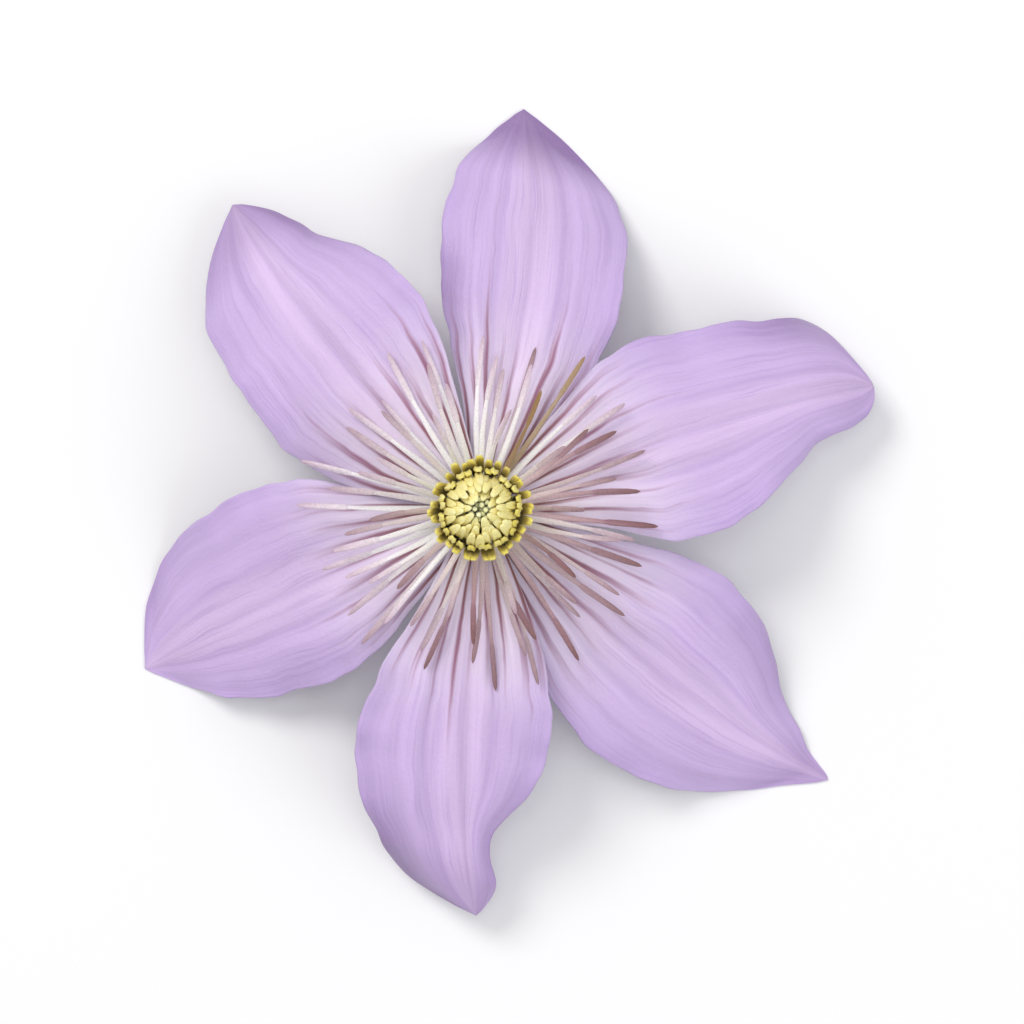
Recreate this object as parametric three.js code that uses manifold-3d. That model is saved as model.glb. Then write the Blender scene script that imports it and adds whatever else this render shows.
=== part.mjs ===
// A large-flowered garden clematis bloom, picked with a short stalk and lying face up.
//
// Six lilac sepals (a clematis has no true petals) spread from a small green receptacle at the top
// of the stalk. They sit in two tiers: three outer ones, whose tips touch the surface, and three
// inner ones that overlap them near the base and arch clear of it. Above them a ring of long pale
// stamens spreads over the sepals, an upright brush of yellow stamens stands in the middle, and a
// tuft of pistils stands inside the brush. The stalk bends under the flower and lies along the surface.
//
// Units are millimetres, +Z is up and the surface is Z = 0. Angles are in degrees from +X, anticlockwise
// as seen from above. The origin is under the middle of the flower's outline, on the surface.

import * as THREE from "three";
import { mergeVertices } from "three/addons/utils/BufferGeometryUtils.js";
import Module from "manifold-3d";

const wasm = await Module();
wasm.setup();

// ---------------------------------------------------------------- driving dimensions

const FLOWER_AXIS = [-3.58, 0.25]; // where the flower's own axis stands, from the origin
const TIER_HEIGHT = 12.5; // of the outer sepals' bases above the surface
const TIER_STEP = 1.2; // from the outer sepals' bases up to the inner ones'
const CLAW_RADIUS = 3.0; // from the flower's axis to the foot of each sepal
const CLAW_HALF_WIDTH = 2.0; // of a sepal at its foot
const TIP_HALF_WIDTH = 0.3; // of a pointed sepal at its very tip
const SEPAL_THICKNESS = 0.66;
const SEAT_GAP = 0.3; // between a sepal or a stamen ring and the receptacle that carries it
const STALK_RADIUS = 1.1;

// Shares of a sepal's length at which its half-widths are given.
const STATIONS = [0.2, 0.4, 0.6, 0.8, 0.92];

// facing: direction of the foot. reach: length seen from above. lean: sideways shift of the tip.
// left, right: half-widths at the stations, as seen from the foot. bluntness: half-width of a rounded tip.
// crest: how strongly the sepal arches up from its foot. tip: height that its tip aims at.
// droop, nod: how far before the tip, and from how high above it, the sepal comes down.
// twist: how far the tip is turned round the sepal's own length, in degrees.
// ripple: the wave of each margin, as height, waves along the length and starting turn.
// rolls: places where a margin rolls down, as side (1 left, -1 right), share of the length and depth.
const OUTER = { tier: 0, crest: 5.6, droop: 6 };
const INNER = { tier: 1, crest: 5.2, droop: 4 };
const SEPALS = [
  {
    ...OUTER, name: "sepal_1", facing: 76.5, reach: 47.2, lean: 6.2, tip: -0.9, nod: 4.0, twist: 3,
    left: [5.0, 8.9, 10.6, 8.9, 4.4], right: [6.2, 9.9, 11.3, 10.6, 5.6],
    ripple: { left: [1.0, 1.7, 0.1], right: [1.1, 1.4, 0.55] },
    rolls: [[1, 0.45, 1.8], [-1, 0.95, 1.2]],
  },
  {
    ...INNER, name: "sepal_2", facing: 134, reach: 46.1, lean: -3.8, tip: 3.9, nod: 5.4, twist: -4,
    left: [8.6, 11.6, 11.3, 10.3, 6.2], right: [7.2, 11.2, 11.2, 6.4, 3.6],
    ripple: { left: [1.3, 1.6, 0.5], right: [1.6, 2.2, 0.2] },
    rolls: [[-1, 0.84, 2.2], [1, 0.3, 1.2]],
  },
  {
    ...OUTER, name: "sepal_3", facing: 203, reach: 44.0, lean: 1.7, tip: -0.8, nod: 2.8, twist: -2,
    left: [7.0, 10.9, 10.8, 8.0, 3.6], right: [7.6, 12.0, 12.8, 10.9, 6.6],
    ripple: { left: [1.0, 1.5, 0.8], right: [1.2, 1.8, 0.3] },
    rolls: [[-1, 0.9, 0.9]],
  },
  {
    ...INNER, name: "sepal_4", facing: 263.5, reach: 47.4, lean: 4.7, tip: 4.4, nod: 6.6, twist: 5,
    left: [7.2, 10.1, 9.4, 3.0, 3.0], right: [5.8, 10.2, 12.4, 10.5, 7.2],
    ripple: { left: [1.2, 2.1, 0.6], right: [1.0, 1.5, 0.15] },
    rolls: [[1, 0.78, 2.0], [-1, 0.87, 2.8]],
  },
  {
    ...OUTER, name: "sepal_5", facing: 316.5, reach: 51.6, lean: 5.0, tip: -0.7, nod: 1.6, twist: 2,
    left: [7.6, 12.6, 12.2, 5.6, 2.1], right: [6.4, 11.0, 12.0, 8.8, 3.6],
    ripple: { left: [1.4, 1.9, 0.35], right: [1.0, 1.3, 0.7] },
    rolls: [[1, 0.7, 1.2]],
  },
  {
    ...INNER, name: "sepal_6", facing: 21, reach: 48.1, lean: -2.8, tip: 5.0, nod: 4.6, twist: -4,
    left: [7.4, 11.8, 11.4, 10.2, 8.4], right: [6.6, 11.6, 10.6, 5.6, 4.2], bluntness: 2.6,
    ripple: { left: [1.5, 2.0, 0.75], right: [1.2, 1.6, 0.4] },
    rolls: [[1, 0.86, 2.0]],
  },
];
// Where the spine leaves its foot, as a share of its length.
const SPINE_START = 0.4;
// The sunken middle rib and the pair beside it: place across the half-width, and share of the full depth.
const RIBS = [
  { place: 0, strength: 1 },
  { place: 0.34, strength: 0.6 },
];
const RIB_DEPTH = 0.3;
const RIB_HALF_WIDTH = 0.13;
const RIB_HEAD_START = 0.12; // ribs are this share of the length further on at the foot than at the tip
const PILLOW = 0.7; // how far each half of a sepal swells up between its middle rib and its margin
const MARGIN_LIFT = { outer: -0.5, inner: 0.5, tip: -1.5 }; // of the margins over the middle, at foot and tip
const RIPPLE_FADE = { from: 0.35, to: 0.65, power: 2.5 }; // shares of the length, and how close to the margin
const ROLL_SPREAD = 0.13; // how far a rolled margin spreads along the sepal, as a share of its length
const TIP_TAPER = 0.93; // share of the length past which the margins come back to the middle's height
// How far across the foot follows the round receptacle, and how fast that ends along the sepal.
const FOOT_HUG = { halfWidth: 2.45, power: 10 };
const LANDING = 0.5; // height over which a sepal that meets the surface levels out
const SEPAL_DIVISIONS = [17, 12]; // along and across

// The receptacle's outline: radius and height over the outer sepals' feet. It swells from the stalk to
// a rim under the sepals' feet, and the column above it carries the stamen rings and the pistils.
const COLUMN = { sepals: 2.7, spreading: 2.3, brush: 1.5 }; // radius at each tier
const TIERS = { sepals: 2.3, spreading: 3.9, brush: 5.7 }; // height of each tier's top
const RECEPTACLE_RIM = -(SEPAL_THICKNESS / 2 + RIB_DEPTH + SEAT_GAP);
const RECEPTACLE_SWELLING = [
  [0, -4.2],
  [STALK_RADIUS, -4.2],
  [1.9, -3.0],
  [2.9, -1.9],
  [3.7, RECEPTACLE_RIM - 0.3],
  [3.6, RECEPTACLE_RIM],
];
const RECEPTACLE_SIDES = 16;

// Each ring of stamens: how many, how far out and how high its feet and tips are over the outer sepals'
// feet, the height of its bend, and the length of its anthers. Radii and heights are in millimetres.
const SPREADING_RINGS = [
  { count: 15, foot: [3.2, 3.0], bend: [11.0, 5.0], tip: [20.8, 4.2], anther: 5.5, turn: 0 },
  { count: 15, foot: [3.2, 3.2], bend: [9.5, 6.6], tip: [18.0, 7.0], anther: 5.0, turn: 0.5 },
  { count: 11, foot: [3.1, 3.5], bend: [7.5, 8.6], tip: [13.6, 11.4], anther: 5.0, turn: 0.2 },
];
const BRUSH_RINGS = [
  { count: 8, foot: [2.2, 4.8], bend: [4.4, 15.6], tip: [0.9, 18.3], anther: 6.6, turn: 0 },
  { count: 12, foot: [2.4, 4.8], bend: [5.0, 14.6], tip: [2.1, 17.9], anther: 6.8, turn: 0.3 },
  { count: 16, foot: [2.7, 4.8], bend: [5.4, 12.8], tip: [3.5, 16.9], anther: 6.8, turn: 0.6 },
  { count: 20, foot: [2.9, 4.6], bend: [4.9, 9.6], tip: [5.5, 15.0], anther: 6.4, turn: 0.2 },
];
// The crowded feet of a ring's stamens: radius, and height of the band's foot and head over the sepals' feet.
const SPREADING_BAND = { outer: 3.9, low: TIERS.sepals + 0.1, high: TIERS.spreading };
const BRUSH_BAND = { outer: 3.2, low: TIERS.spreading + SEAT_GAP + 0.1, high: TIERS.brush };
const PISTIL_CUSHION = { radius: 1.4, shoulder: 1.1, height: 1 };
const PISTIL_RINGS = [
  { count: 1, foot: [0, 6.3], bend: [0.1, 11], tip: [0.1, 16.9], anther: 0, turn: 0 },
  { count: 6, foot: [0.75, 6.3], bend: [1.0, 11.5], tip: [0.5, 16.4], anther: 0, turn: 0.2 },
];

const FILAMENT_HALF_WIDTH = 0.36;
const ANTHER_HALF_WIDTH = { spreading: 0.42, brush: 0.54 };
const ANTHER_SHOULDER = 0.08; // share of a stamen's length over which it widens into its anther
const STYLE_HALF_WIDTH = 0.24;
const FLATNESS = { spreading: 0.7, brush: 0.85, pistils: 1 }; // thickness of a limb to its width
const SEEDS = { spreading: 11, brush: 23, pistils: 37 }; // of the scatter in each set of limbs
const LIMB_SIDES = 4;
const LIMB_END = 0.001; // share of a limb's length at which its pointed end begins
const SCATTER = { turn: 3.5, reach: 0.05, height: 0.6 }; // degrees, share of the radius, millimetres

// The stalk's route away from the flower, as distance out, shift to the side and height.
const STALK_FACING = 262;
const STALK_RIBS = { count: 6, valley: 0.88 }; // valley: radius between two ribs, as a share of the stalk's
const STALK_REST = STALK_RADIUS + 0.1; // height of the lying stalk's middle
const STALK_ROUTE = [
  [37, 2.4, STALK_REST],
  [30, 1.3, STALK_REST],
  [22, 0.4, STALK_REST],
  [14, 0, STALK_REST + 0.05],
  [8.0, 0, 2.3],
  [3.1, 0, 4.6],
  [0.4, 0, 8.0],
  [0, 0, TIER_HEIGHT - 2],
];
const STALK_STEPS = 26;

// ---------------------------------------------------------------- small helpers

/** A repeatable source of numbers from -1 to 1. */
function scatterFrom(seed) {
  let state = seed;
  return () => {
    state = (state * 1664525 + 1013904223) % 4294967296;
    return (state / 4294967296) * 2 - 1;
  };
}

/** A smooth curve through values given at rising places, read at one place. */
function smoothThrough(places, values, at) {
  const slope = (i) => {
    const before = Math.max(i - 1, 0);
    const after = Math.min(i + 1, places.length - 1);
    return (values[after] - values[before]) / (places[after] - places[before]);
  };
  let i = 0;
  while (i < places.length - 2 && at > places[i + 1]) i += 1;
  const span = places[i + 1] - places[i];
  const k = (at - places[i]) / span;
  return (
    values[i] * (1 + 2 * k) * (1 - k) ** 2 +
    slope(i) * span * k * (1 - k) ** 2 +
    values[i + 1] * k * k * (3 - 2 * k) +
    slope(i + 1) * span * k * k * (k - 1)
  );
}

/** A closed three.js geometry as a solid that can be joined to others. */
function solidOf(geometry) {
  const bare = geometry.index ? geometry.toNonIndexed() : geometry.clone();
  bare.deleteAttribute("normal");
  bare.deleteAttribute("uv");
  const merged = mergeVertices(bare, 1e-4);
  return new wasm.Manifold(
    new wasm.Mesh({
      numProp: 3,
      vertProperties: merged.attributes.position.array,
      triVerts: new Uint32Array(merged.index.array),
    }),
  );
}

/** A solid turned back into a three.js geometry. */
function geometryOf(solid) {
  const mesh = solid.getMesh();
  const geometry = new THREE.BufferGeometry();
  geometry.setAttribute("position", new THREE.BufferAttribute(mesh.vertProperties, 3));
  geometry.setIndex(new THREE.BufferAttribute(mesh.triVerts, 1));
  geometry.computeVertexNormals();
  return geometry;
}

/** Several closed geometries fused into one. */
function fuse(geometries) {
  return geometryOf(geometries.map(solidOf).reduce((joined, next) => joined.add(next)));
}

// ---------------------------------------------------------------- sepals

/** A height that levels out softly at a lowest value instead of sinking below it. */
function landed(height, lowest) {
  const over = height - lowest;
  if (over >= LANDING) return height;
  return over <= -LANDING ? lowest : lowest + (over + LANDING) ** 2 / (4 * LANDING);
}

/** The middle surface of a sepal: a point for each share of its spine and place across it, from -1 to 1. */
function sepalSurface(sepal) {
  const foot = TIER_HEIGHT + sepal.tier * TIER_STEP;
  const length = sepal.reach - CLAW_RADIUS;
  const spine = new THREE.CubicBezierCurve(
    new THREE.Vector2(CLAW_RADIUS, foot),
    new THREE.Vector2(CLAW_RADIUS + SPINE_START * length, foot + sepal.crest),
    new THREE.Vector2(sepal.reach - sepal.droop, sepal.tip + sepal.nod),
    new THREE.Vector2(sepal.reach, sepal.tip),
  );
  const places = [0, ...STATIONS, 1];
  const widths = {
    left: [CLAW_HALF_WIDTH, ...sepal.left, sepal.bluntness ?? TIP_HALF_WIDTH],
    right: [CLAW_HALF_WIDTH, ...sepal.right, sepal.bluntness ?? TIP_HALF_WIDTH],
  };
  const turn = THREE.MathUtils.degToRad(sepal.facing);
  const twist = Math.tan(THREE.MathUtils.degToRad(sepal.twist));
  const lift = sepal.tier ? MARGIN_LIFT.inner : MARGIN_LIFT.outer;
  const { smoothstep } = THREE.MathUtils;

  return (along, across) => {
    const middle = spine.getPoint(along);
    const share = (middle.x - CLAW_RADIUS) / length;
    const side = across > 0 ? "left" : "right";
    const edge = Math.abs(across);
    const [rippleHeight, waves, start] = sepal.ripple[side];

    const beside = across * smoothThrough(places, widths[side], share);
    const sideways = sepal.lean * share ** 3 + beside;
    // The foot hugs the round receptacle.
    const hugged = Math.min(Math.abs(sideways), FOOT_HUG.halfWidth);
    const hug = (CLAW_RADIUS - Math.sqrt(CLAW_RADIUS ** 2 - hugged ** 2)) * (1 - share) ** FOOT_HUG.power;
    const outward = middle.x - hug;

    const ribs = RIBS
      .map(({ place, strength }) => strength * Math.exp(-(((edge - place) / RIB_HALF_WIDTH) ** 2)))
      .reduce((total, rib) => total + rib, 0);
    const channel = -RIB_DEPTH * ribs * Math.sin(Math.PI * Math.min(share + RIB_HEAD_START, 1));
    const pillow = PILLOW * Math.sin(Math.PI * edge) * Math.sin(Math.PI * share);
    const arch = edge ** 2 * (lift * (1 - share) + MARGIN_LIFT.tip * share ** 2);
    const ripple =
      rippleHeight * edge ** RIPPLE_FADE.power * Math.sin(2 * Math.PI * (waves * share + start)) *
      smoothstep(share, RIPPLE_FADE.from, RIPPLE_FADE.to);
    const rolled = sepal.rolls
      .filter(([rollSide]) => rollSide * across > 0)
      .map(([, place, depth]) => depth * edge ** 2 * Math.exp(-(((share - place) / ROLL_SPREAD) ** 2)))
      .reduce((total, depth) => total + depth, 0);
    const taper = 1 - smoothstep(share, TIP_TAPER, 1);
    const relief = channel + pillow + (arch + ripple - rolled) * taper + beside * twist * share;
    const height = landed(middle.y + relief, SEPAL_THICKNESS / 2);

    return new THREE.Vector3(
      outward * Math.cos(turn) - sideways * Math.sin(turn),
      outward * Math.sin(turn) + sideways * Math.cos(turn),
      height,
    );
  };
}

/** A blade of even thickness over a middle surface, with the same triangles on both faces. */
function bladeGeometry(surface, thickness, [alongCount, acrossCount]) {
  const step = 1e-3;
  const face = (side) => {
    const points = [];
    for (let i = 0; i <= alongCount; i += 1) {
      for (let j = 0; j <= acrossCount; j += 1) {
        const along = i / alongCount;
        const across = (2 * j) / acrossCount - 1;
        const behind = surface(Math.max(along - step, 0), across);
        const ahead = surface(Math.min(along + step, 1), across);
        const rightwards = surface(along, Math.max(across - step, -1));
        const leftwards = surface(along, Math.min(across + step, 1));
        const normal = ahead.sub(behind).cross(leftwards.sub(rightwards)).normalize();
        const point = surface(along, across).addScaledVector(normal, (side * thickness) / 2);
        points.push(point.x, point.y, Math.max(point.z, 0));
      }
    }
    return points;
  };
  const row = acrossCount + 1;
  const count = (alongCount + 1) * row;
  const triangles = [];
  for (let i = 0; i < alongCount; i += 1) {
    for (let j = 0; j < acrossCount; j += 1) {
      const a = i * row + j;
      const [b, c, d] = [a + row, a + row + 1, a + 1];
      triangles.push(a, b, c, a, c, d);
      triangles.push(count + a, count + c, count + b, count + a, count + d, count + c);
    }
  }
  const wall = (a, b) => triangles.push(a, count + a, count + b, a, count + b, b);
  for (let i = 0; i < alongCount; i += 1) {
    wall(i * row, (i + 1) * row);
    wall((i + 1) * row + acrossCount, i * row + acrossCount);
  }
  for (let j = 0; j < acrossCount; j += 1) {
    wall(j + 1, j);
    wall(alongCount * row + j, alongCount * row + j + 1);
  }
  const geometry = new THREE.BufferGeometry();
  geometry.setAttribute("position", new THREE.Float32BufferAttribute([...face(1), ...face(-1)], 3));
  geometry.setIndex(triangles);
  geometry.computeVertexNormals();
  return geometry;
}

// ---------------------------------------------------------------- stamens and pistils

/** A thin limb of changing width, grown along a curve: outline holds [share of the length, half-width]. */
function limbGeometry(curve, outline, sides, flatness) {
  const profile = outline.map(([share, halfWidth]) => new THREE.Vector2(halfWidth, share));
  const limb = new THREE.LatheGeometry(
    [new THREE.Vector2(0, 0), ...profile, new THREE.Vector2(0, 1)],
    sides,
  );
  const position = limb.attributes.position;
  for (let i = 0; i < position.count; i += 1) {
    const share = position.getY(i);
    const ahead = curve.getTangent(share);
    const beside = new THREE.Vector3(-Math.sin(curve.turn), Math.cos(curve.turn), 0);
    const above = ahead.clone().cross(beside);
    const point = curve
      .getPoint(share)
      .addScaledVector(beside, -position.getX(i))
      .addScaledVector(above, position.getZ(i) * flatness);
    position.setXYZ(i, point.x, point.y, point.z);
  }
  return limb;
}

/** The curve of one limb, from its foot over its bend to its tip, standing in the direction turn. */
function limbCurve(turn, foot, bend, tip) {
  const place = ([radius, height]) =>
    new THREE.Vector3(radius * Math.cos(turn), radius * Math.sin(turn), TIER_HEIGHT + height);
  const curve = new THREE.QuadraticBezierCurve3(place(foot), place(bend), place(tip));
  curve.turn = turn;
  return curve;
}

/** All the limbs of a few rings. shape(anther share) gives the outline of one. */
function ringsOfLimbs(rings, shape, flatness, seed) {
  const draw = scatterFrom(seed);
  return rings.flatMap((ring) =>
    Array.from({ length: ring.count }, (_, i) => {
      const turn = THREE.MathUtils.degToRad(((i + ring.turn) / ring.count) * 360 + SCATTER.turn * draw());
      const reach = 1 + SCATTER.reach * draw();
      const rise = SCATTER.height * draw();
      const curve = limbCurve(
        turn,
        ring.foot,
        [ring.bend[0] * reach, ring.bend[1] + rise / 2],
        [ring.tip[0] * reach, ring.tip[1] + rise],
      );
      return limbGeometry(curve, shape(ring.anther / curve.getLength()), LIMB_SIDES, flatness);
    }),
  );
}

/** Gives the outline of stamens: a slim filament, then a broader anther of a given share of the length. */
function stamenShape(antherHalfWidth) {
  return (antherShare) => {
    const neck = 1 - antherShare;
    return [
      [LIMB_END, FILAMENT_HALF_WIDTH],
      [neck / 2, FILAMENT_HALF_WIDTH],
      [neck, FILAMENT_HALF_WIDTH],
      [neck + ANTHER_SHOULDER, antherHalfWidth],
      [1 - LIMB_END, antherHalfWidth / 2],
    ];
  };
}

/** A pistil's outline: a plump foot that holds the seed, and a slim style. */
function pistilOutline() {
  return [
    [LIMB_END, STYLE_HALF_WIDTH * 2],
    [0.18, STYLE_HALF_WIDTH * 2.2],
    [0.4, STYLE_HALF_WIDTH],
    [1 - LIMB_END, STYLE_HALF_WIDTH],
  ];
}

/** The crowded feet of a ring of stamens, grown into one low band round the column. */
function footBand(inner, { outer, low, high }) {
  const outline = [
    [inner, low],
    [outer, low],
    [outer, (low + high) / 2],
    [(inner + outer) / 2, high],
    [inner, high],
    [inner, low],
  ].map(([radius, height]) => new THREE.Vector2(radius, TIER_HEIGHT + height));
  return new THREE.LatheGeometry(outline, RECEPTACLE_SIDES).rotateX(Math.PI / 2);
}

/** The low cushion that the pistils stand on, on top of the column. */
function pistilCushion() {
  const { radius, shoulder, height } = PISTIL_CUSHION;
  const foot = TIER_HEIGHT + TIERS.brush + SEAT_GAP;
  return new THREE.CylinderGeometry(shoulder, radius, height, RECEPTACLE_SIDES)
    .rotateX(Math.PI / 2)
    .translate(0, 0, foot + height / 2);
}

// ---------------------------------------------------------------- stalk and receptacle

/** The stalk: a six-ribbed cord that lies along the surface and bends up to the receptacle. */
function stalkGeometry() {
  const facing = THREE.MathUtils.degToRad(STALK_FACING);
  const route = new THREE.CatmullRomCurve3(
    STALK_ROUTE.map(
      ([out, aside, height]) =>
        new THREE.Vector3(
          out * Math.cos(facing) - aside * Math.sin(facing),
          out * Math.sin(facing) + aside * Math.cos(facing),
          height,
        ),
    ),
  );
  const section = new THREE.Shape(
    Array.from({ length: STALK_RIBS.count * 2 }, (_, i) => {
      const angle = (i / STALK_RIBS.count) * Math.PI;
      const radius = STALK_RADIUS * (i % 2 ? STALK_RIBS.valley : 1);
      return new THREE.Vector2(radius * Math.cos(angle), radius * Math.sin(angle));
    }),
  );
  return new THREE.ExtrudeGeometry(section, { steps: STALK_STEPS, extrudePath: route });
}

/** The receptacle: a swelling under the sepals, with a stepped column above it. */
function receptacleGeometry() {
  const outline = [
    ...RECEPTACLE_SWELLING,
    [COLUMN.sepals, RECEPTACLE_RIM],
    [COLUMN.sepals, TIERS.sepals - SEAT_GAP],
    [COLUMN.spreading, TIERS.sepals],
    [COLUMN.spreading, TIERS.spreading],
    [COLUMN.brush, TIERS.spreading + SEAT_GAP],
    [COLUMN.brush, TIERS.brush],
    [0, TIERS.brush],
  ].map(([radius, height]) => new THREE.Vector2(radius, TIER_HEIGHT + height));
  return new THREE.LatheGeometry(outline, RECEPTACLE_SIDES).rotateX(Math.PI / 2);
}

// ---------------------------------------------------------------- the flower

const MATERIALS = {
  sepal: new THREE.MeshStandardMaterial({ color: 0xc9ace4, roughness: 0.55, metalness: 0 }),
  spreading: new THREE.MeshStandardMaterial({ color: 0xe6d8e8, roughness: 0.6, metalness: 0 }),
  brush: new THREE.MeshStandardMaterial({ color: 0xe4d878, roughness: 0.7, metalness: 0 }),
  pistil: new THREE.MeshStandardMaterial({ color: 0xa9b06a, roughness: 0.7, metalness: 0 }),
  stalk: new THREE.MeshStandardMaterial({ color: 0x6f7f3f, roughness: 0.6, metalness: 0 }),
};

const flower = new THREE.Group();
flower.position.set(FLOWER_AXIS[0], FLOWER_AXIS[1], 0);

function addPiece(name, geometry, material) {
  const mesh = new THREE.Mesh(geometry, material);
  mesh.name = name;
  flower.add(mesh);
}

addPiece("stalk", fuse([receptacleGeometry(), stalkGeometry()]), MATERIALS.stalk);

for (const sepal of SEPALS) {
  addPiece(sepal.name, bladeGeometry(sepalSurface(sepal), SEPAL_THICKNESS, SEPAL_DIVISIONS), MATERIALS.sepal);
}

addPiece(
  "spreading_stamens",
  fuse([
    footBand(COLUMN.spreading + SEAT_GAP, SPREADING_BAND),
    ...ringsOfLimbs(
      SPREADING_RINGS,
      stamenShape(ANTHER_HALF_WIDTH.spreading),
      FLATNESS.spreading,
      SEEDS.spreading,
    ),
  ]),
  MATERIALS.spreading,
);

addPiece(
  "brush_stamens",
  fuse([
    footBand(COLUMN.brush + SEAT_GAP, BRUSH_BAND),
    ...ringsOfLimbs(BRUSH_RINGS, stamenShape(ANTHER_HALF_WIDTH.brush), FLATNESS.brush, SEEDS.brush),
  ]),
  MATERIALS.brush,
);

addPiece(
  "pistils",
  fuse([
    pistilCushion(),
    ...ringsOfLimbs(PISTIL_RINGS, pistilOutline, FLATNESS.pistils, SEEDS.pistils),
  ]),
  MATERIALS.pistil,
);

export default flower;
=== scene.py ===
"""A clematis flower, picked with a short stalk and lying face up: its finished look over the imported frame.

Sizes are in millimetres, and become metres where a mesh is written. A share is a place along a piece,
from 0 at its foot to 1 at its tip. Across is a place on a sepal, from -1 on its right margin to 1 on
its left one, as seen from its foot. Heights of stamens and pistils are over the lowest sepals' feet.

In the finishes, a MapRange row is a value, the range that it is read over and the one that it becomes,
and a MULTIPLY_ADD row is a value, a factor and a sum. A Mix has its amount in 0 and its colours in 6 and 7.
"""

from __future__ import annotations

import logging
import math
from dataclasses import dataclass
from enum import Enum
from functools import partial
from itertools import pairwise
from typing import Any, Iterable, NamedTuple, Sequence

import bpy
import numpy as np
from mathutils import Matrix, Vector

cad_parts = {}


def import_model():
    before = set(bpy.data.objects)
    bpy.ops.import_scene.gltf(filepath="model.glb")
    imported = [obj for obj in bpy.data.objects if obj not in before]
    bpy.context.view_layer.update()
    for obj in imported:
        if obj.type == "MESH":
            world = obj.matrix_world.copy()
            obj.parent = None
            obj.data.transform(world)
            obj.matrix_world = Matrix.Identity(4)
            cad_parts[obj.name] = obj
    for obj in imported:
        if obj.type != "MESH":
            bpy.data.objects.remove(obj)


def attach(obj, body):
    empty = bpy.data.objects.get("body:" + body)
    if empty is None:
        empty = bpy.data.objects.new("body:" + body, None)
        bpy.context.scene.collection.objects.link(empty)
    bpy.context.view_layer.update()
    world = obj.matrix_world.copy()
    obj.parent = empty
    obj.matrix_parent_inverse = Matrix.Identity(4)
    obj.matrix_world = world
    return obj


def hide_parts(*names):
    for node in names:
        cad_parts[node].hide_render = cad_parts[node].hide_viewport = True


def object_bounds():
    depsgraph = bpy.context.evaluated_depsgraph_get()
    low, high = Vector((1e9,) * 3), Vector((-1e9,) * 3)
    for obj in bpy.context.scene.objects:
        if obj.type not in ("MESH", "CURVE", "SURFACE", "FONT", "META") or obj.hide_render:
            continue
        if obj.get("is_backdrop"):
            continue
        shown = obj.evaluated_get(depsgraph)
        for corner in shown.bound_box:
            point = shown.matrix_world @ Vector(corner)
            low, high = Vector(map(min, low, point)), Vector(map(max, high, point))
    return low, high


LOG = logging.getLogger("clematis_flower")
BODY = "root"
MM = 0.001

# The frame's own sizes, as its solids have them.
FLOWER_AXIS = (-3.58, 0.25)
TIER_HEIGHT = 12.5
TIER_STEP = 1.2
CLAW_RADIUS = 3.0
CLAW_HALF_WIDTH = 2.0
TIP_HALF_WIDTH = 0.3
STALK_RADIUS = 1.1
STATIONS = (0.2, 0.4, 0.6, 0.8, 0.92)

# Directions round the flower, where some of the spreading stamens differ from the rest. On the side away
# from the key light they are tinted browner, which is painted shade.
SHADED_SIDE = math.radians(-30)  # they are browner
WITHERED = math.radians(60)  # a few have dried to a golden brown
WITHERED_SPREAD = math.radians(5)

NECK = 0.5  # a stamen template's share where the filament ends and the anther begins
LOWEST = 0.01  # of limbs, over the surface that the flower lies on

Array = np.ndarray
Rows = Sequence[np.ndarray]
Colours = tuple[tuple[float, str], ...]
Socket = bpy.types.NodeSocket
Sockets = dict[str | int, Any] | Sequence[Any]
Tree = bpy.types.NodeTree


# ---------------------------------------------------------------- small helpers


def linear(hex_colour: str) -> tuple[float, float, float, float]:
    """Turn an sRGB hex colour into a linear one.

    Args:
        hex_colour: six hex digits after a hash sign.

    Returns:
        linear red, green and blue, and an alpha of 1.
    """
    parts = (int(hex_colour[i : i + 2], 16) / 255 for i in (1, 3, 5))
    red, green, blue = (p / 12.92 if p <= 0.04045 else ((p + 0.055) / 1.055) ** 2.4 for p in parts)
    return red, green, blue, 1.0


def plug(tree: Tree, node: bpy.types.Node, sockets: Sockets) -> None:
    """Set a node's inputs.

    Args:
        tree: the tree that the node is in.
        node: the node.
        sockets: an output to link, a hex colour or a plain value for each input, by its name or
            number, or in a row from the first input on.
    """
    named = sockets if isinstance(sockets, dict) else dict(enumerate(sockets))
    for key, value in named.items():
        socket = node.inputs[key]
        if isinstance(value, Socket):
            tree.links.new(value, socket)
        else:
            socket.default_value = linear(value) if isinstance(value, str) else value


def add_node(tree: Tree, kind: str, sockets: Sockets = (), **settings: Any) -> bpy.types.bpy_prop_collection:
    """Add a node to a material with its settings and links.

    Args:
        tree: the material's node tree.
        kind: the node's type, without its ShaderNode prefix.
        sockets: what its inputs get, as plug takes it.
        settings: the node's own settings. stops gives a colour ramp's places and colours.

    Returns:
        the node's outputs.
    """
    node = tree.nodes.new(f"ShaderNode{kind}")
    stops = settings.pop("stops", None)
    for name, value in settings.items():
        setattr(node, name, value)
    if stops:
        ramp = node.color_ramp.elements
        while len(ramp) < len(stops):
            ramp.new(1.0)
        for element, (place, colour) in zip(ramp, stops):
            element.position, element.color = place, linear(colour)
    plug(tree, node, sockets)
    return node.outputs


def per_metre(size_mm: float) -> float:
    """The scale that gives a pattern features of one size."""
    return 1 / (size_mm * MM)


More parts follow.
